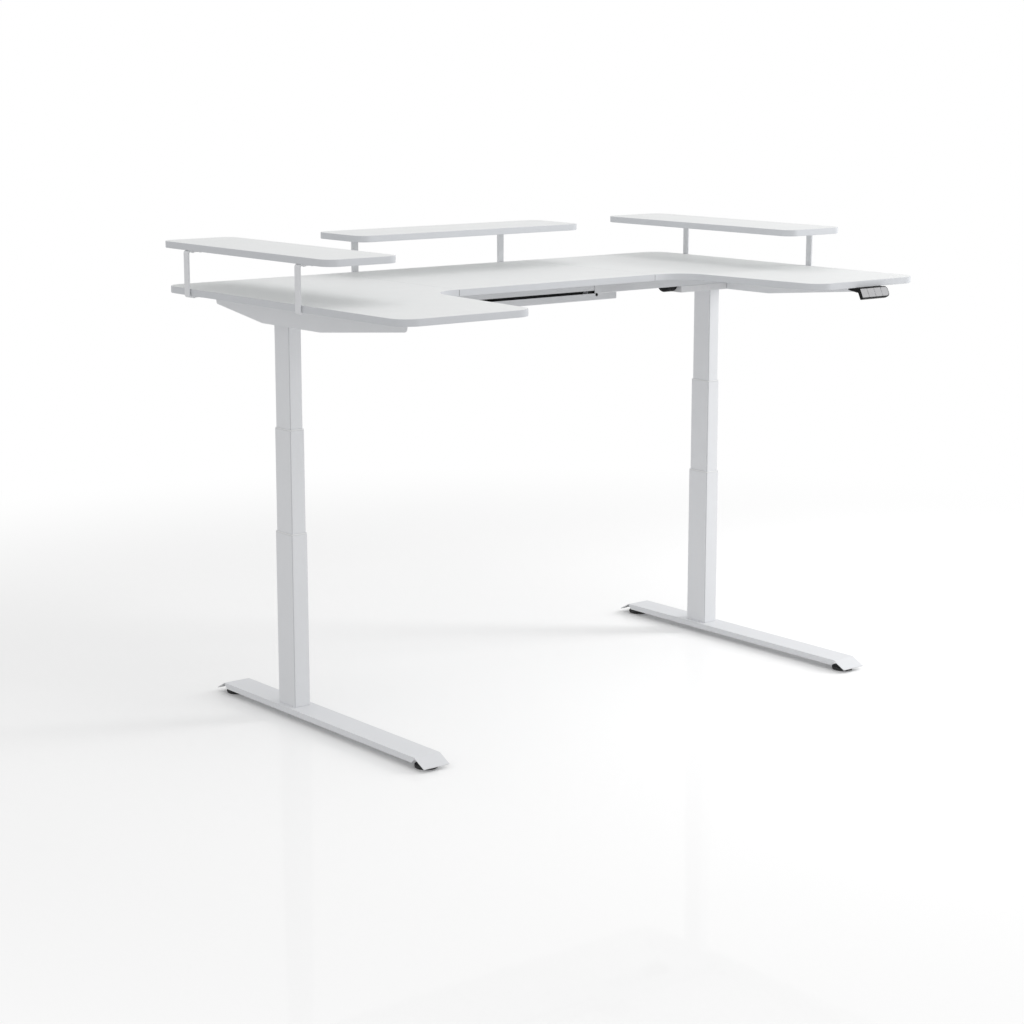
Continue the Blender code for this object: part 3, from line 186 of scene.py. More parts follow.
# Camera, light and floor
CAMERA_PLACE = (-4.0067, -4.8473, 1.7376)
CAMERA_HEADING = math.radians(38.6445)
CAMERA_DROP = math.radians(11.2037)
CAMERA_LENS = 79.88             # millimetres, as its sensor
CAMERA_SENSOR = 36.0
CAMERA_REACH = 100.0
SKY_STRENGTH = 0.702
AIM_HEIGHT = 0.8                # of the point that the lamps face
LAMP_HEADING = math.radians(118.4)   # of the key lamp, from +Y towards +X
LAMP_RISE = math.radians(28.5)       # of the key lamp, above the level
LAMP_DISTANCE = 4.0
KEY_LAMP = (0.7, 22.8)          # size, power
FILL_LAMPS = {"overhead": ((0.0, 0.0, 3.6), 2.5, 8.6),     # place, size, power
              "front_top": ((0.0, -2.5, 3.6), 2.5, 13.1),
              "right_fill": ((3.0, -1.2, 1.4), 1.0, 24.9)}
FLOOR_SIZE = 40.0
FLOOR_BOUNCE = 0.82
FLOOR_SHADE = 0.97              # of the floor's look that its light decides
FLOOR_GLOSS = 0.05
FLOOR_ROUGHNESS = 0.02
FLOOR_GLOW = 0.05
FLOOR_FADE = (1.7, 3.6)         # from the desk's middle, where the floor turns white

AXIS_X = Vector((1, 0, 0))
AXIS_Y = Vector((0, 1, 0))
AXIS_Z = Vector((0, 0, 1))
SIDES = {"left": -1, "right": 1}
BODY_OF = {node: body for body, nodes in frame["record"]["behaviour"]["bodies"].items()
           for node in nodes}


def placed(origin, across, up):
    """Matrix at origin whose local X runs along across and local Y along up."""
    matrix = Matrix((across, up, across.cross(up))).transposed().to_4x4()
    matrix.translation = Vector(origin)
    return matrix


def sideways(x, y=0.0, z=0.0):
    """Place for an outline drawn front to back and upwards, thick across."""
    return placed((x, y, z), AXIS_Y, AXIS_Z)


def facing(y, x=0.0, z=0.0):
    """Place for an outline drawn across and upwards, thick towards the user."""
    return placed((x, y, z), AXIS_X, AXIS_Z)


def add_node(tree, kind, values=None, links=None, **settings):
    """Shader node with its settings, its input values and the outputs linked to its inputs."""
    node = tree.nodes.new(f"ShaderNode{kind}")
    for name, setting in settings.items():
        setattr(node, name, setting)
    for name, value in (values or {}).items():
        node.inputs[name].default_value = value
    for name, output in (links or {}).items():
        tree.links.new(output, node.inputs[name])
    return node


def noise(tree, scale, detail, stretch=(1, 1, 1)):
    """Value of a noise that is fixed to the piece, with its scale in features per metre."""
    place = add_node(tree, "TexCoord")
    mapping = add_node(tree, "Mapping", {"Scale": stretch}, {"Vector": place.outputs["Object"]})
    texture = add_node(tree, "TexNoise", {"Scale": scale, "Detail": detail},
                       {"Vector": mapping.outputs["Vector"]})
    return texture.outputs["Fac"]


def spread(tree, value, low, high):
    """Value of a noise, stretched between two levels."""
    span = {"From Min": NOISE_SPAN[0], "From Max": NOISE_SPAN[1], "To Min": low, "To Max": high}
    return add_node(tree, "MapRange", span, {"Value": value}).outputs["Result"]


def finish(name, colour, roughness, metallic=0.0, mottle=(6.0, 0.02), grain=(900.0, 0.00003),
           stretch=(1, 1, 1), sheen=0.06, specular=0.5):
    """Material with a mottled colour, and a fine grain in its roughness and height.

    mottle is a scale and a share of the colour, grain a scale and a depth, and sheen
    half the span of the roughness.
    """
    material = bpy.data.materials.new(name)
    material.use_nodes = True
    tree = material.node_tree
    shader = tree.nodes["Principled BSDF"]
    shader.inputs["Metallic"].default_value = metallic
    shader.inputs["Specular IOR Level"].default_value = specular
    coarse = noise(tree, mottle[0], MOTTLE_DETAIL)
    tones = {"A": (*[part * (1 - mottle[1]) for part in colour], 1),
             "B": (*[part * (1 + mottle[1]) for part in colour], 1)}
    mix = add_node(tree, "Mix", tones, {"Factor": spread(tree, coarse, 0, 1)}, data_type="RGBA")
    tree.links.new(mix.outputs["Result"], shader.inputs["Base Color"])
    fine = noise(tree, grain[0], GRAIN_DETAIL, stretch)
    tree.links.new(spread(tree, fine, roughness - sheen, roughness + sheen),
                   shader.inputs["Roughness"])
    bump = add_node(tree, "Bump", {"Strength": GRAIN_STRENGTH, "Distance": grain[1]},
                    {"Height": fine})
    tree.links.new(bump.outputs["Normal"], shader.inputs["Normal"])
    return material


def powder_coat(name, colour):
    """White paint with a fine orange peel."""
    return finish(name, colour, 0.50, mottle=(9, 0.006), grain=(750, 0.00004), specular=0.25)


LAMINATE = finish("white_laminate", (0.825, 0.835, 0.835), 0.58, mottle=(14, 0.008),
                  grain=(1800, 0.00002), specular=0.18)
EDGE_BAND = finish("edge_band", (0.65, 0.665, 0.69), 0.50, mottle=(30, 0.01),
                   grain=(2500, 0.00001), specular=0.25)
BAND_LINE = finish("edge_band_joint", (0.42, 0.42, 0.43), 0.6, specular=0.2)
# Painted shadow: near-black, for the strips that stand in for the shade in the seams between boards
SEAM_SHADOW = finish("seam_shadow", (0.02, 0.02, 0.02), 0.8, specular=0.1)
WHITE_STEEL = powder_coat("white_powder_coat", (0.80, 0.81, 0.83))
# Painted shade: a darker copy of the white powder coat, laid on the tubes' rounded corners
CORNER_SHADE_STEEL = powder_coat("powder_coat_painted_corner_shade", (0.62, 0.63, 0.65))
# Painted shade: a darker copy of the white powder coat, for the beam and tray that sit in shade
# below the top
SHADED_BEAM_STEEL = powder_coat("beam_powder_coat_painted_shade", (0.68, 0.69, 0.71))
GREY_CASTING = finish("grey_casting", (0.74, 0.745, 0.76), 0.48, mottle=(60, 0.03),
                      grain=(1400, 0.00008), specular=0.3)
BARE_STEEL = finish("zinc_plated_steel", (0.55, 0.55, 0.56), 0.30, 0.9, mottle=(40, 0.04),
                    grain=(300, 0.00003), stretch=(1, 12, 1))
BRONZE = finish("turned_bronze", (0.55, 0.38, 0.17), 0.32, 0.9, grain=(300, 0.00003),
                stretch=(1, 1, 14))
BLACK_PLASTIC = finish("black_plastic", (0.010, 0.010, 0.011), 0.50, mottle=(50, 0.1),
                       grain=(1600, 0.00005), specular=0.12)
BLACK_STEEL = finish("black_paint", (0.012, 0.012, 0.012), 0.42, mottle=(40, 0.1),
                     grain=(800, 0.00004), specular=0.15)
WHITE_PLASTIC = finish("white_plastic", (0.88, 0.885, 0.89), 0.50, mottle=(40, 0.01),
                       grain=(1800, 0.00003), specular=0.25)
GREY_PLASTIC = finish("key_plastic", (0.46, 0.46, 0.47), 0.48, mottle=(60, 0.01),
                      grain=(2200, 0.00003), specular=0.25)
RUBBER = finish("glide_rubber", (0.025, 0.025, 0.026), 0.7, mottle=(60, 0.1), grain=(1200, 0.0001))


def turned_left(points):
    """The outline in the order that keeps its inside on the left."""
    area = sum(a[0] * b[1] - b[0] * a[1] for a, b in zip(points, points[1:] + points[:1]))
    return points if area > 0 else points[::-1]


def rounded_outline(corners, radii):
    """Outline through corners, each replaced by an arc of its own radius."""
    points = []
    count = len(corners)
    for index, radius in enumerate(radii):
        corner = Vector(corners[index])
        arrive = (corner - Vector(corners[index - 1])).normalized()
        leave = (Vector(corners[(index + 1) % count]) - corner).normalized()
        turn = math.atan2(arrive.x * leave.y - arrive.y * leave.x, arrive.dot(leave))
        if radius == 0 or abs(turn) < TINY:
            points.append(tuple(corner))
            continue
        start = corner - arrive * radius * math.tan(abs(turn) / 2)
        centre = start + Vector((-arrive.y, arrive.x)) * math.copysign(radius, turn)
        steps = max(2, round(abs(turn) / ARC_STEP))
        for step in range(steps + 1):
            spoke = Matrix.Rotation(turn * step / steps, 2) @ (start - centre)
            points.append(tuple(centre + spoke))
    return turned_left(points)


def rectangle(width, depth, radius, x=0.0, y=0.0):
    """Rectangle about (x, y) with rounded corners."""
    across = width / 2
    along = depth / 2
    corners = [(x - across, y - along), (x + across, y - along),
               (x + across, y + along), (x - across, y + along)]
    return rounded_outline(corners, [radius] * 4)


def strip_outline(path, thickness, inner_radius):
    """Outline of a bent strip whose middle follows the path."""
    points = [Vector(point) for point in path]
    sides = {1: [], -1: []}
    radii = {1: [], -1: []}
    last = len(points) - 1
    for index, point in enumerate(points):
        arrive = (point - points[max(index - 1, 0)]).normalized()
        leave = (points[min(index + 1, last)] - point).normalized()
        arrive = leave if index == 0 else arrive
        leave = arrive if index == last else leave
        turn = math.atan2(arrive.x * leave.y - arrive.y * leave.x, arrive.dot(leave))
        mitre = (Vector((-arrive.y, arrive.x)) + Vector((-leave.y, leave.x))).normalized()
        reach = thickness / 2 / math.cos(turn / 2)
        for side in sides:
            sides[side].append(tuple(point + mitre * reach * side))
            bend = inner_radius + (thickness if turn * side < 0 else 0.0)
            radii[side].append(0.0 if index in (0, last) else bend)
    return rounded_outline(sides[-1] + sides[1][::-1], radii[-1] + radii[1][::-1])


def inset_outline(points, inset, share=None):
    """Outline moved inwards, each edge by its own share of the inset."""
    moved = []
    count = len(points)
    for index, point in enumerate(points):
        corner = Vector(point)
        previous = Vector(points[index - 1])
        following = Vector(points[(index + 1) % count])
        arrive = (corner - previous).normalized()
        leave = (following - corner).normalized()
        before = inset * (share(previous, corner) if share else 1.0)
        after = inset * (share(corner, following) if share else 1.0)
        inward = Vector((-arrive.y, arrive.x))
        inward_next = Vector((-leave.y, leave.x))
        turn = arrive.x * leave.y - arrive.y * leave.x
        slide = (before * inward.dot(inward_next) - after) / turn if abs(turn) > TINY else 0.0
        moved.append(tuple(corner + inward * before + arrive * slide))
    return moved


def at_height(points, height):
    """Outline as a ring at a height."""
    return [(x, y, height) for x, y in points]


def edge_rings(outline, low, high, edge, share=None):
    """Rings up the side of a slab whose lower and upper edges are rounded."""
    if edge == 0:
        return [at_height(outline, low), at_height(outline, high)]
    rings = []
    for step in range(EDGE_STEPS + 1):
        turn = math.pi / 2 * step / EDGE_STEPS
        ring = inset_outline(outline, edge * (1 - math.sin(turn)), share)
        rings.append((ring, abs(edge) * (1 - math.cos(turn))))
    return ([at_height(ring, low + lift) for ring, lift in rings]
            + [at_height(ring, high - lift) for ring, lift in rings[::-1]])


def loft(name, rings, place=None, closed=False, skins=None):
    """Skin over rings of equally many points, capped at its ends or closed to a loop."""
    shape = bmesh.new()
    loops = [[shape.verts.new(point) for point in ring] for ring in rings]
    bands = list(zip(loops, loops[1:] + loops[:1]))
    for band, (lower, upper) in enumerate(bands if closed else bands[:-1]):
        for index in range(len(lower)):
            face = shape.faces.new((lower[index - 1], lower[index], upper[index], upper[index - 1]))
            face.material_index = skins[band] if skins else 0
    if not closed:
        shape.faces.new(loops[0][::-1])
        shape.faces.new(loops[-1])
    return solid(name, shape, place)


def solid(name, shape, place=None):
    """Object from a bmesh, with its faces out and its mesh in place."""
    bmesh.ops.recalc_face_normals(shape, faces=shape.faces)
    mesh = bpy.data.meshes.new(name)
    shape.to_mesh(mesh)
    shape.free()
    if place:
        mesh.transform(place)
    piece = bpy.data.objects.new(name, mesh)
    bpy.context.scene.collection.objects.link(piece)
    return piece


def slab(name, outline, low, high, edge, place=None):
    """Solid of an outline between two heights, with rounded edges."""
    return loft(name, edge_rings(turned_left(outline), low, high, edge), place)


def circle(radius, height=0.0, steps=TURNED_STEPS, radius_at=None):
    """Ring about the axis, or one whose radius varies with the angle."""
    angles = [2 * math.pi * step / steps for step in range(steps)]
    radii = [radius_at(angle) if radius_at else radius for angle in angles]
    return [(r * math.cos(angle), r * math.sin(angle), height) for r, angle in zip(radii, angles)]


def turned(name, profile, place):
    """Solid of (radius, height) points turned about the place's Z axis."""
    return loft(name, [circle(radius, height) for radius, height in profile], place)


def settle(piece):
    """Replace a piece's mesh by the one that its modifiers make."""
    bpy.context.view_layer.update()
    graph = bpy.context.evaluated_depsgraph_get()
    mesh = bpy.data.meshes.new_from_object(piece.evaluated_get(graph), depsgraph=graph)
    piece.modifiers.clear()
    piece.data = mesh


def carve(piece, tool, operation="DIFFERENCE"):
    """Boolean of a piece with a tool, which is used up."""
    boolean = piece.modifiers.new("shape", "BOOLEAN")
    boolean.operation = operation
    boolean.solver = "EXACT"
    boolean.object = tool
    settle(piece)
    bpy.data.objects.remove(tool, do_unlink=True)


def dress(piece, materials, body=None, node=None):
    """Finish a piece, and hang it on its body or in place of its node."""
    for material in materials:
        piece.data.materials.append(material)
    piece.data.shade_smooth()
    piece.data.set_sharp_from_angle(angle=SHARP_ANGLE)
    weighted = piece.modifiers.new("weighted_normals", "WEIGHTED_NORMAL")
    weighted.keep_sharp = True
    settle(piece)
    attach(piece, body or BODY_OF[node])
    if node:
        piece.name = f"{node}_shown"
        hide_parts(node)
    return piece


def copies(name, unit, places):
    """One object with a copy of the unit's mesh at each place. The unit is used up."""
    shape = bmesh.new()
    for place in places:
        mesh = unit.data.copy()
        mesh.transform(place)
        shape.from_mesh(mesh)
        bpy.data.meshes.remove(mesh)
    bpy.data.objects.remove(unit, do_unlink=True)
    return solid(name, shape)


def hexagon(flat):
    """Radius of a hexagon, by angle, from half its width across flats."""
    sixth = math.pi / 3
    return lambda angle: flat / math.cos((angle + sixth / 2) % sixth - sixth / 2)


def cross(reach, arm):
    """Radius of a cross recess, by angle."""
    quarter = math.pi / 2

    def radius(angle):
        off = abs((angle + quarter / 2) % quarter - quarter / 2)
        return min(reach, arm / max(math.sin(off), TINY))

    return radius


def fasteners(name, head, places, drive, material, body):
    """Heads of screws or bolts, each with its recess, standing out along local Z."""
    radius, height = head
    recess = drive(radius)
    rings = [circle(radius * out, height * up, FASTENER_STEPS) for out, up in HEAD_PROFILE]
    rings += [circle(0, height * up, FASTENER_STEPS, recess) for up in (1.0, RECESS_FLOOR)]
    piece = copies(name, loft("fastener", rings), places)
    return dress(piece, [material], body)


def socket_drive(radius):
    """Hexagon socket that suits a bolt head."""
    return hexagon(radius * SOCKET_SHARE)


def cross_drive(radius):
    """Cross recess that suits a screw head."""
    reach, arm = CROSS_SHARES
    return cross(radius * reach, radius * arm)


def heads_down(points):
    """Places for fastener heads that hang below the points."""
    return [Matrix.Translation(point) @ Matrix.Rotation(math.pi, 4, "X") for point in points]


TOP_LOW, TOP_HIGH = (corner.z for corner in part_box("desktop_centre_panel"))
HALF_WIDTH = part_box("desktop_right_wing")[1].x
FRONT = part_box("desktop_right_wing")[0].y
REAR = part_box("desktop_right_wing")[1].y
COLUMN = (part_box("right_outer_tube")[0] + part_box("right_outer_tube")[1]) / 2
HEAD_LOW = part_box("right_gearbox")[0].z
BEAM_LOW, BEAM_HIGH = (corner.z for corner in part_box("right_end_rail"))
BEAM_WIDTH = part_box("right_end_rail")[1].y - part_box("right_end_rail")[0].y


def board(name, outline, low, high, seam=None):
    """Board with banded edges, whose seam edges are rounded only a little."""
    def share(a, b):
        on_seam = seam and all(abs(abs(end.x) - seam) < TINY for end in (a, b))
        return SEAM_SHARE if on_seam else 1.0

    outline = turned_left(outline)
    rings = edge_rings(outline, low, high, BOARD_EDGE, share)
    flat = inset_outline(outline, BOARD_EDGE + BAND_JOINT, share)
    rings = [at_height(flat, low)] + rings + [at_height(flat, high)]
    skins = [LINE_SKIN] + [BAND_SKIN] * (len(rings) - 3) + [LINE_SKIN]
    piece = loft(name, rings, skins=skins)
    dress(piece, [LAMINATE, EDGE_BAND, BAND_LINE], node=name)


def build_boards():
    """The three boards of the top and the three shelves."""
    inner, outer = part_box("desktop_centre_panel")
    board("desktop_centre_panel",
          [(inner.x, inner.y), (outer.x, inner.y), (outer.x, outer.y), (inner.x, outer.y)],
          TOP_LOW, TOP_HIGH, outer.x)
    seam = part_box("desktop_right_wing")[0].x
    for side, sign in SIDES.items():
        corners = [(sign * seam, inner.y),
                   (sign * (HALF_WIDTH - WING_REAR_WIDTH), inner.y),
                   (sign * (HALF_WIDTH - WING_FRONT_WIDTH), FRONT),
                   (sign * HALF_WIDTH, FRONT),
                   (sign * HALF_WIDTH, REAR),
                   (sign * seam, REAR)]
        radii = [0.0, INNER_CORNER, OUTER_CORNER, OUTER_CORNER, OUTER_CORNER, 0.0]
        board(f"desktop_{side}_wing", rounded_outline(corners, radii), TOP_LOW, TOP_HIGH, seam)
        build_seam_shadow(f"{side}_seam", sign * (seam + outer.x) / 2, inner.y, outer.y)
    for name in ("left_shelf", "back_shelf", "right_shelf"):
        low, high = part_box(name)
        middle = (low + high) / 2
        size = high - low
        outline = rectangle(size.x, size.y, SHELF_CORNER, middle.x, middle.y)
        board(name, outline, low.z, high.z)


def build_seam_shadow(name, x, front, rear):
    """Painted shadow of the seam between two boards: a near-black strip, wider across their banded
    edges.
    """
    narrow, wide = (width / 2 for width in SEAM_WIDTH)
    half = (rear - front) / 2
    ends = half + SEAM_PROUD
    quarter = [(narrow, half - SEAM_PROUD), (wide, half), (wide, ends)]
    outline = quarter + [(-across, along) for across, along in quarter[::-1]]
    outline += [(-across, -along) for across, along in outline]
    outline = [(x + across, (front + rear) / 2 + along) for across, along in outline]
    shadow_strip = slab(name, outline, TOP_LOW + BOARD_EDGE, TOP_HIGH - BOARD_EDGE, 0.0)
    dress(shadow_strip, [SEAM_SHADOW], "desk")


def build_risers():
    """Bent bars that carry the shelves, and their screws."""
    for name in [node for node in frame["nodes"] if node.endswith("_riser")]:
        low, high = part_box(name)
        middle = (low + high) / 2
        if name.startswith("back"):
            outward = AXIS_Y
            face = Vector((middle.x, high.y, 0))
            width = high.x - low.x
            reach = high.y - low.y
        else:
            outward = AXIS_X * (-1 if name.startswith("left") else 1)
            face = Vector((high.x if outward.x > 0 else low.x, middle.y, 0))
            width = high.y - low.y
            reach = high.x - low.x
        half = RISER_THICK / 2
        head = WOOD_SCREW[1]
        bottom = low.z + head + half - TOUCH_GAP
        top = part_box("back_shelf")[0].z - TOUCH_GAP - half
        path = [(-reach, bottom), (-half, bottom), (-half, top), (-reach, top)]
        piece = slab(name, strip_outline(path, RISER_THICK, RISER_BEND), -width / 2, width / 2,
                     RISER_EDGE, placed(face, outward, AXIS_Z))
        dress(piece, [WHITE_STEEL], node=name)
        points = [face - outward * depth + AXIS_Z * (level - half)
                  for depth in RISER_SCREWS for level in (bottom, top)]
        fasteners(f"{name}_screws", WOOD_SCREW, heads_down(points), cross_drive, WHITE_STEEL,
                  "desk")


def paint_corner_shade(piece):
    """Painted shade: a second, darker finish on the rounded corners of an upright tube."""
    for face in piece.data.polygons:
        slope = abs(abs(face.normal.x) - abs(face.normal.y))
        if slope < CORNER_SLOPE and abs(face.normal.z) < UPRIGHT_SLOPE:
            face.material_index = 1


def build_columns():
    """Column tubes with rounded edges and the collars between them."""
    for side in SIDES:
        for stage in ("inner", "middle", "outer"):
            name = f"{side}_{stage}_tube"
            low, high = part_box(name)
            middle = (low + high) / 2
            size = high - low
            outside = rectangle(size.x, size.y, TUBE_CORNER, middle.x, middle.y)
            inside = rectangle(size.x - 2 * TUBE_WALL, size.y - 2 * TUBE_WALL,
                               TUBE_CORNER - TUBE_WALL, middle.x, middle.y)
            rings = edge_rings(outside, low.z, high.z, FINE_EDGE)
            rings += edge_rings(inside, low.z, high.z, -FINE_EDGE)[::-1]
            tube = loft(name, rings, closed=True)
            # paints shade on the rounded corners
            paint_corner_shade(tube)
            dress(tube, [WHITE_STEEL, CORNER_SHADE_STEEL], node=name)
        for stage, within in (("outer", "middle"), ("middle", "inner")):
            build_collar(f"{side}_{stage}_collar", f"{side}_{within}_tube")


def build_collar(name, tube):
    """Moulded collar with a softened rim, and its lip down inside the tube."""
    low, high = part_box(name)
    inner_low, inner_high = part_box(tube)
    middle = (low + high) / 2
    size = high - low
    bore = inner_high - inner_low + Vector((COLLAR_GAP, COLLAR_GAP, 0))
    lip = 2 * (TUBE_WALL + FINE_EDGE)
    outlines = {"rim": rectangle(size.x, size.y, TUBE_CORNER, middle.x, middle.y),
                "lip": rectangle(size.x - lip, size.y - lip, TUBE_CORNER - TUBE_WALL,
                                 middle.x, middle.y),
                "bore": rectangle(bore.x, bore.y, TUBE_CORNER, middle.x, middle.y)}
    seat = high.z - COLLAR_FACE + FINE_EDGE
    rings = [at_height(outlines["lip"], low.z), at_height(outlines["lip"], seat)]
    rings += edge_rings(outlines["rim"], seat, high.z, 2 * FINE_EDGE)
    rings += [at_height(inset_outline(outlines["bore"], -FINE_EDGE), high.z),
              at_height(outlines["bore"], high.z - FINE_EDGE), at_height(outlines["bore"], low.z)]
    dress(loft(name, rings, closed=True), [WHITE_PLASTIC], node=name)


def build_brackets():
    """Folded plates below the wings, with their screws."""
    for side, sign in SIDES.items():
        name = f"{side}_side_bracket"
        low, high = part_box(name)
        plate = TOP_LOW - TOUCH_GAP
        outer = max(abs(low.x), abs(high.x))
        web = outer - SHEET / 2
        level = plate - SHEET / 2
        fold = [(sign * web, HEAD_LOW - SHEET), (sign * web, level),
                (sign * (outer - SIDE_FLANGE), level)]
        bracket = slab(name, strip_outline(fold, SHEET, SHEET_BEND), -high.y - SHEET,
                       -low.y + SHEET, FINE_EDGE, facing(0))
        profile = rounded_outline(
            [(low.y, TOP_LOW + SHEET), (low.y, TOP_LOW - SIDE_FRONT_DEPTH),
             (COLUMN.y - SIDE_FLAT_FRONT, HEAD_LOW), (COLUMN.y + SIDE_FLAT_REAR, HEAD_LOW),
             (high.y - SIDE_SLANT, TOP_LOW - SIDE_REAR_DEPTH), (high.y, TOP_LOW + SHEET)],
            [0.0, SIDE_NOSE, 0.0, 0.0, SIDE_NOSE / 4, 0.0])
        mould = slab("mould", profile, -2 * SIDE_FLANGE, 2 * SIDE_FLANGE, 0.0,
                     sideways(sign * outer))
        carve(bracket, mould, "INTERSECT")
        dress(bracket, [WHITE_STEEL], node=name)
        points = [(sign * (outer - SIDE_FLANGE / 2), y, plate - SHEET) for y in FLANGE_SCREWS]
        fasteners(f"{name}_screws", WOOD_SCREW, heads_down(points), cross_drive, WHITE_STEEL,
                  "desk")


def channel(name, width, low, high, ends):
    """Rail folded to a channel that is open below."""
    wall = width / 2 - SHEET / 2
    path = [(-wall, low), (-wall, high - SHEET / 2), (wall, high - SHEET / 2), (wall, low)]
    return slab(name, strip_outline(path, SHEET, SHEET_BEND), ends[0], ends[1], FINE_EDGE,
                sideways(0, COLUMN.y))


def build_beam():
    """Telescoping beam with the bolts that clamp it."""
    low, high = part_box("centre_rail")
    rail_high = BEAM_HIGH - SHEET - TOUCH_GAP
    rail = channel("centre_rail", high.y - low.y, low.z, rail_high, (low.x, high.x))
    dress(rail, [SHADED_BEAM_STEEL], node="centre_rail")
    points = [(sign * CLAMP_BOLTS[0], COLUMN.y + step * CLAMP_BOLTS[1], rail_high - SHEET)
              for sign in (-1, 1) for step in (-1, 1)]
    fasteners("clamp_bolts", BOLT, heads_down(points), socket_drive, BARE_STEEL,
              "desk")
    for side in SIDES:
        name = f"{side}_end_rail"
        low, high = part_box(name)
        rail = channel(name, BEAM_WIDTH, BEAM_LOW, BEAM_HIGH, (low.x, high.x))
        dress(rail, [SHADED_BEAM_STEEL], node=name)


def build_plates():
    """Joining plates under the seams, with their screws."""
    for side in SIDES:
        name = f"{side}_joining_plate"
        low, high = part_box(name)
        middle = (low + high) / 2
        level = TOP_LOW - TOUCH_GAP
        outline = rectangle(high.x - low.x, high.y - low.y, PLATE_CORNER, middle.x, middle.y)
        plate = slab(name, outline, level - PLATE_THICK, level, FINE_EDGE)
        dress(plate, [BARE_STEEL], node=name)
        across, along = PLATE_SCREWS
        points = [(middle.x + way * across, middle.y + step * along, level - PLATE_THICK)
                  for way in (-1, 1) for step in (-1, 0, 1)]
        fasteners(f"{name}_screws", WOOD_SCREW, heads_down(points), cross_drive, BARE_STEEL,
                  "desk")


def build_tray():
    """Trough below the beam, its bolts and the control box."""
    low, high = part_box("cable_tray")
    wall = (high.y - low.y) / 2 - TRAY_SHEET / 2
    path = [(-wall, high.z), (-wall, low.z + TRAY_SHEET / 2), (wall, low.z + TRAY_SHEET / 2),
            (wall, high.z)]
    tray = slab("cable_tray", strip_outline(path, TRAY_SHEET, SHEET_BEND), low.x, high.x,
                FINE_EDGE, sideways(0, COLUMN.y))
    dress(tray, [SHADED_BEAM_STEEL], node="cable_tray")
    places = []
    for sign in (-1, 1):
        for face in (-1, 1):
            spot = (sign * TRAY_BOLT[0], COLUMN.y + face * (high.y - low.y) / 2,
                    high.z - TRAY_BOLT[1])
            places.append(Matrix.Translation(spot) @ Matrix.Rotation(-face * math.pi / 2, 4, "X"))
    fasteners("tray_bolts", TRAY_SCREW, places, socket_drive, BLACK_STEEL, "desk")
    low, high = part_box("control_box")
    middle = (low + high) / 2
    outline = rectangle(high.x - low.x, high.y - low.y, BOX_CORNER, middle.x, middle.y)
    box = slab("control_box", outline, low.z, high.z, BOX_EDGE)
    dress(box, [BLACK_PLASTIC], node="control_box")


def build_heads():
    """Column heads with their gear housings, bolts and motors."""
    for side, sign in SIDES.items():
        name = f"{side}_gearbox"
        low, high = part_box(name)
        middle = (low + high) / 2
        top = low.z + HEAD_HEIGHT
        head = slab(name, rectangle(high.x - low.x, BEAM_WIDTH, HEAD_CORNER, middle.x, COLUMN.y),
                    low.z, top, HEAD_EDGE)
        dress(head, [GREY_CASTING], node=name)
        inner = min(abs(low.x), abs(high.x)) + HEAD_CORNER
        outline = rectangle(HOUSING_END - inner, HOUSING_WIDTH, HEAD_CORNER,
                            sign * (inner + HOUSING_END) / 2, COLUMN.y)
        housing_top = BEAM_HIGH - SHEET - 2 * TOUCH_GAP - SHEET
        housing = slab(f"{side}_gear_housing", outline, top - HOUSING_SINK, housing_top,
                       HOUSING_EDGE)
        dress(housing, [GREY_CASTING], "desk")
        points = [(sign * x, COLUMN.y + step * HEAD_BOLTS[1], low.z + HEAD_BOLT_SINK)
                  for x in HEAD_BOLTS[0] for step in (-1, 1)]
        fasteners(f"{side}_head_bolts", BOLT, heads_down(points), socket_drive, BARE_STEEL,
                  "desk")
        build_motor(side, sign)


def build_motor(side, sign):
    """Motor that lies along the beam, with a grooved can and an end cap."""
    name = f"{side}_motor"
    low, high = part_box(name)
    radius = (high.y - low.y) / 2
    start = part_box(f"{side}_gearbox")[0 if sign > 0 else 1].x
    length = abs((low.x if sign > 0 else high.x) - start)
    can = length - MOTOR_CAP
    groove = MOTOR_GROOVE
    profile = [(radius * MOTOR_FACE, TOUCH_GAP), (radius - MOTOR_EDGE, TOUCH_GAP),
               (radius, TOUCH_GAP + MOTOR_EDGE)]
    for index in range(MOTOR_GROOVES):
        middle = can * (index + 1) / (MOTOR_GROOVES + 1)
        profile += [(radius, middle - 2 * groove), (radius - groove, middle - groove),
                    (radius - groove, middle + groove), (radius, middle + 2 * groove)]
    profile += [(radius - within, can - before) for within, before in MOTOR_SHOULDER]
    profile += [(MOTOR_CAP_RADIUS + MOTOR_EDGE, can), (MOTOR_CAP_RADIUS, can + MOTOR_EDGE),
                (MOTOR_CAP_RADIUS, length - MOTOR_CAP_EDGE),
                (MOTOR_CAP_RADIUS - MOTOR_CAP_EDGE, length)]
    place = placed((start, COLUMN.y, (low.z + high.z) / 2), AXIS_Y, -sign * AXIS_Z)
    dress(turned(name, profile, place), [BLACK_PLASTIC], node=name)


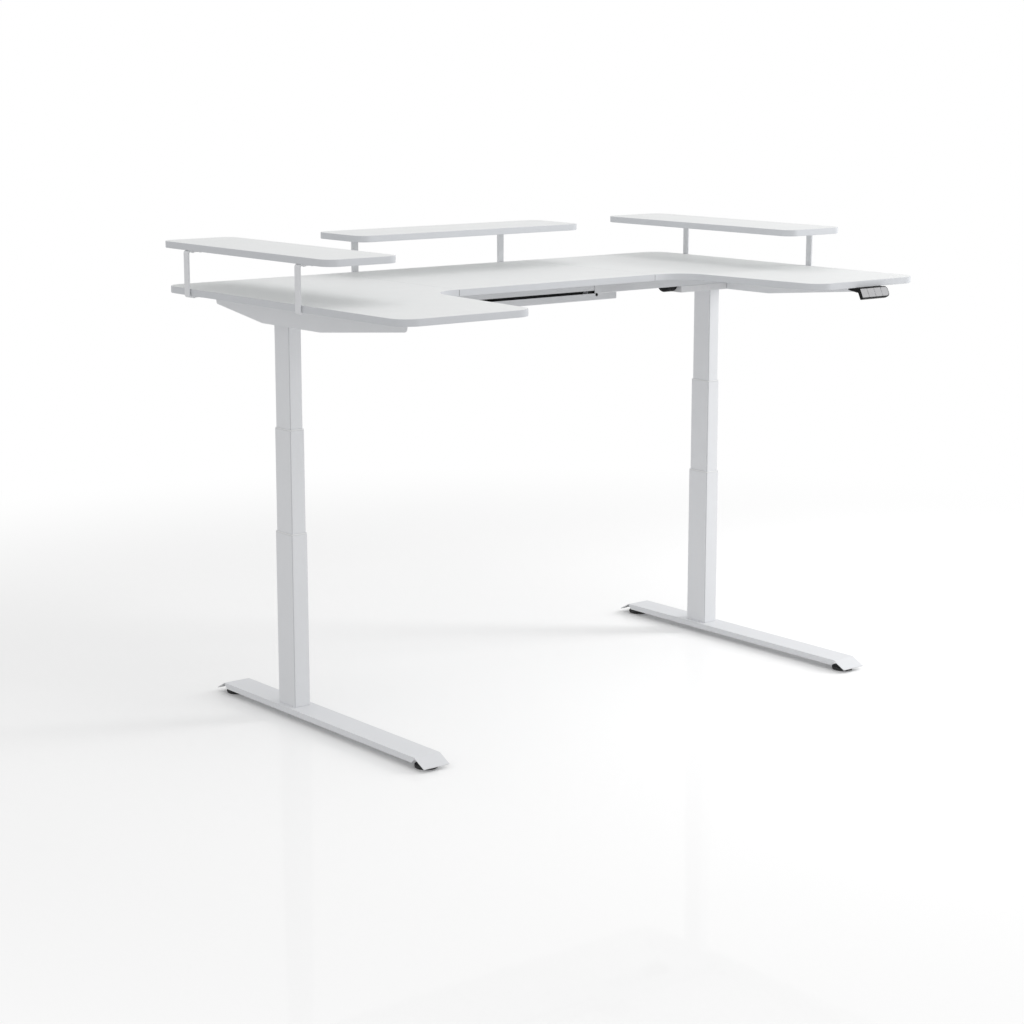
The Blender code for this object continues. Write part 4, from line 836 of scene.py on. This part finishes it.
def build_feet():
    """Folded feet with sloping ends, and their levelling glides."""
    for side in SIDES:
        name = f"{side}_foot"
        low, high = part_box(name)
        x = (low.x + high.x) / 2
        front = low.y + FOOT_TOE
        rear = high.y - FOOT_HEEL
        wall = FOOT_WIDTH / 2 - FOOT_SHEET / 2
        skin = high.z - FOOT_SHEET / 2
        bottom = high.z - FOOT_HEIGHT
        channel_path = [(-wall, bottom), (-wall, skin), (wall, skin), (wall, bottom)]
        foot = slab(name, strip_outline(channel_path, FOOT_SHEET, SHEET_BEND), -rear, -front,
                    0.0, facing(0, x))
        end_path = [(low.y, skin - FOOT_FALL), (front, skin), (rear, skin),
                    (high.y, skin - FOOT_FALL)]
        ends = slab("ends", strip_outline(end_path, FOOT_SHEET, SHEET_BEND), -FOOT_WIDTH / 2,
                    FOOT_WIDTH / 2, FINE_EDGE, sideways(x))
        for edge, way in ((front, 1), (rear, -1)):
            notch = [(edge - way * FOOT_SHEET, skin - FOOT_SHEET),
                     (edge - way * FOOT_SHEET, bottom - FOOT_SHEET),
                     (edge + way * FOOT_NOTCH, bottom - FOOT_SHEET)]
            carve(foot, slab("notch", notch, -FOOT_WIDTH, FOOT_WIDTH, 0.0, sideways(x)))
        carve(foot, ends, "UNION")
        dress(foot, [WHITE_STEEL], node=name)
        for end in ("front", "rear"):
            build_glide(f"{side}_{end}_glide")


def build_glide(name):
    """Round glide with a ribbed rim, on a threaded stem."""
    low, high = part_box(name)
    middle = (low + high) / 2
    radius = (high.x - low.x) / 2
    place = Matrix.Translation((middle.x, middle.y, 0))
    steps = 4 * GLIDE_RIBS

    def ribbed(within):
        depth = GLIDE_HALF_RIB
        return lambda angle: radius - within - depth * (1 - math.cos(GLIDE_RIBS * angle))

    rings = [circle(radius - within, height, steps) for within, height in GLIDE_SOLE]
    rings += [circle(0, height, steps, ribbed(within)) for within, height in GLIDE_RIM]
    rings += [circle(radius - within, height, steps) for within, height in GLIDE_TOP]
    rings += [circle(hub, height, steps) for hub, height in GLIDE_HUB]
    dress(loft(name, rings, place), [RUBBER], node=name)

    def threaded(phase):
        depth = STEM_HALF_THREAD
        return lambda angle: STEM_RADIUS - depth + depth * math.cos(2 * math.pi * phase - angle)

    rings = []
    height = STEM_FOOT
    while height < high.z:
        rings.append(circle(0, height, FASTENER_STEPS, threaded(height / STEM_PITCH)))
        height += STEM_PITCH / STEM_RINGS
    dress(loft(f"{name}_stem", rings, place), [BARE_STEEL], BODY_OF[name])


def build_handset():
    """Tilted handset with its pocket, its keys and its flange under the right wing."""
    up = Vector((0, math.sin(HANDSET_TILT), math.cos(HANDSET_TILT)))
    out = AXIS_X.cross(up)
    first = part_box("handset_key_1")
    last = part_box("handset_key_4")
    side_margin, top_margin, depth = HANDSET_POCKET
    left = first[0].x - side_margin
    right = last[1].x + side_margin
    key_middle = (first[0] + last[1]) / 2
    across = (right - left) / 2
    half = HANDSET_FACE / 2
    middle = Vector(((left + right) / 2, key_middle.y, key_middle.z)) + out * HANDSET_LEAD
    place = placed(middle, AXIS_X, up)
    corners = [(-across, -half), (across, -half), (across, half), (-across, half)]
    outline = rounded_outline(corners, [HANDSET_CORNER, HANDSET_END, HANDSET_END, HANDSET_CORNER])
    rings = edge_rings(outline, -HANDSET_THICK, 0.0, HANDSET_EDGE)
    inner = [(x * (across - side_margin) / across, y * (half - top_margin) / half)
             for x, y in outline]
    rings += [at_height(inset_outline(inner, -POCKET_EDGE), 0.0), at_height(inner, -POCKET_EDGE),
              at_height(inner, -depth)]
    dress(loft("handset_housing", rings, place), [BLACK_PLASTIC],
          node="handset_housing")
    rim = middle + up * half
    build_flange(rim, up, out, (left + FLANGE_STEP, right + FLANGE_STEP - HANDSET_END))
    build_keys(middle, place)


def build_flange(rim, up, out, ends):
    """Flange under the wing, which runs down into the handset's back below its upper rim."""
    rear_thick, front_thick = HANDSET_FLANGE
    top = TOP_LOW - TOUCH_GAP
    inside = rim - out * HANDSET_THICK / 2
    deep = inside - up * (front_thick + FLANGE_STEP)
    back = rim - out * HANDSET_THICK
    profile = [(FRONT + HANDSET_REACH, top), (back.y, top), (inside.y, inside.z - FLANGE_STEP),
               (deep.y, deep.z), (FRONT - FLANGE_STEP, top - front_thick),
               (FRONT + HANDSET_REACH, top - rear_thick)]
    flange = slab("handset_flange", profile, *ends, FINE_EDGE, sideways(0))
    dress(flange, [BLACK_PLASTIC], "desk")


def build_keys(middle, place):
    """The four keys in the handset's pocket, the last with a round end."""
    top_margin = HANDSET_POCKET[1]
    half = HANDSET_FACE / 2 - (top_margin + KEY_GAP)
    for index in range(1, 5):
        name = f"handset_key_{index}"
        low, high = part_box(name)
        left = low.x - middle.x + KEY_INSET
        right = high.x - middle.x - KEY_INSET
        end = HANDSET_END - top_margin if index == 4 else KEY_CORNER
        corners = [(left, -half), (right, -half), (right, half), (left, half)]
        outline = rounded_outline(corners, [KEY_CORNER, end, end, KEY_CORNER])
        key = slab(name, outline, -KEY_SINK - KEY_THICK, -KEY_SINK, KEY_EDGE, place)
        dress(key, [GREY_PLASTIC], node=name)


def set_camera():
    """Camera at the photograph's viewing angle."""
    lens = bpy.data.cameras.new("camera")
    lens.lens = CAMERA_LENS
    lens.sensor_width = CAMERA_SENSOR
    lens.clip_end = CAMERA_REACH
    camera = bpy.data.objects.new("camera", lens)
    camera.location = CAMERA_PLACE
    camera.rotation_euler = (math.pi / 2 - CAMERA_DROP, 0.0, -CAMERA_HEADING)
    bpy.context.scene.collection.objects.link(camera)
    bpy.context.scene.camera = camera


def seen_directly(tree):
    """One for rays from the camera, from mirrors and through glass, else zero."""
    path = add_node(tree, "LightPath")
    seen = path.outputs["Is Camera Ray"]
    for name in ("Is Glossy Ray", "Is Transmission Ray"):
        either = add_node(tree, "Math", links={0: seen, 1: path.outputs[name]}, operation="MAXIMUM")
        seen = either.outputs[0]
    return seen


def blended(tree, share, first, second):
    """Blend of two shaders, the second by its share."""
    return add_node(tree, "MixShader",
                    links={"Fac": share, 1: first.outputs[0], 2: second.outputs[0]})


def summed(tree, first, second):
    """Sum of two shaders."""
    return add_node(tree, "AddShader", links={0: first.outputs[0], 1: second.outputs[0]})


def grey(level):
    """Opaque grey of a level."""
    return (level, level, level, 1)


def add_lamp(name, place, size, power):
    """Square soft lamp aimed at the desk."""
    lamp = bpy.data.lights.new(name, "AREA")
    lamp.size = size
    lamp.energy = power
    item = bpy.data.objects.new(name, lamp)
    item.location = place
    way = Vector((0, 0, AIM_HEIGHT)) - Vector(place)
    item.rotation_euler = way.to_track_quat("-Z", "Y").to_euler()
    item.visible_camera = False
    item.visible_glossy = False
    bpy.context.scene.collection.objects.link(item)


def set_light():
    """Even white surroundings, a soft key lamp on the right and three fills."""
    world = bpy.data.worlds.new("studio")
    bpy.context.scene.world = world
    world.use_nodes = True
    tree = world.node_tree
    tree.nodes.clear()
    sky = add_node(tree, "Background", {"Color": grey(1), "Strength": SKY_STRENGTH})
    backdrop = add_node(tree, "Background", {"Color": grey(1), "Strength": 1.0})
    mix = blended(tree, seen_directly(tree), sky, backdrop)
    add_node(tree, "OutputWorld", links={"Surface": mix.outputs[0]})
    level = LAMP_DISTANCE * math.cos(LAMP_RISE)
    key = (level * math.sin(LAMP_HEADING), level * math.cos(LAMP_HEADING),
           AIM_HEIGHT + LAMP_DISTANCE * math.sin(LAMP_RISE))
    add_lamp("key", key, *KEY_LAMP)
    for name, (place, size, power) in FILL_LAMPS.items():
        add_lamp(name, place, size, power)


def far_from_desk(tree):
    """Zero on the floor around the desk, and one far from it."""
    place = add_node(tree, "TexCoord")
    reach = add_node(tree, "VectorMath", links={0: place.outputs["Object"]}, operation="LENGTH")
    fade = add_node(tree, "MapRange", {"From Min": FLOOR_FADE[0], "From Max": FLOOR_FADE[1]},
                    {"Value": reach.outputs["Value"]}, interpolation_type="SMOOTHSTEP")
    return fade.outputs["Result"]


def build_floor():
    """Pale studio floor that keeps the desk's shadow and a faint reflection."""
    shape = bmesh.new()
    bmesh.ops.create_grid(shape, x_segments=1, y_segments=1, size=FLOOR_SIZE)
    floor = solid("floor", shape)
    material = bpy.data.materials.new("studio_floor")
    material.use_nodes = True
    tree = material.node_tree
    tree.nodes.clear()
    bounce = add_node(tree, "BsdfDiffuse", {"Color": grey(FLOOR_BOUNCE)})
    shade = add_node(tree, "BsdfDiffuse", {"Color": grey(FLOOR_SHADE)})
    gloss = add_node(tree, "BsdfGlossy",
                     {"Color": grey(FLOOR_GLOSS), "Roughness": FLOOR_ROUGHNESS})
    glow = add_node(tree, "Emission", {"Strength": FLOOR_GLOW})
    white = add_node(tree, "Emission", {"Strength": 1.0})
    near = summed(tree, summed(tree, shade, gloss), glow)
    seen = blended(tree, far_from_desk(tree), near, white)
    mix = blended(tree, seen_directly(tree), bounce, seen)
    add_node(tree, "OutputMaterial", links={"Surface": mix.outputs[0]})
    floor.data.materials.append(material)


def finish_carried_nodes():
    """Materials for the frame's own nodes that stay in sight."""
    finishes = {"tray_hanger": BLACK_STEEL, "guide": BARE_STEEL, "spindle": BARE_STEEL,
                "nut": BRONZE}
    for name, node in frame["nodes"].items():
        if node.hide_render:
            continue
        for word, material in finishes.items():
            if word in name:
                node.data.materials.clear()
                node.data.materials.append(material)


set_camera()
set_light()
build_floor()
build_boards()
build_risers()
build_columns()
build_brackets()
build_beam()
build_plates()
build_tray()
build_heads()
build_feet()
build_handset()
finish_carried_nodes()
bpy.context.scene.view_settings.view_transform = "Standard"
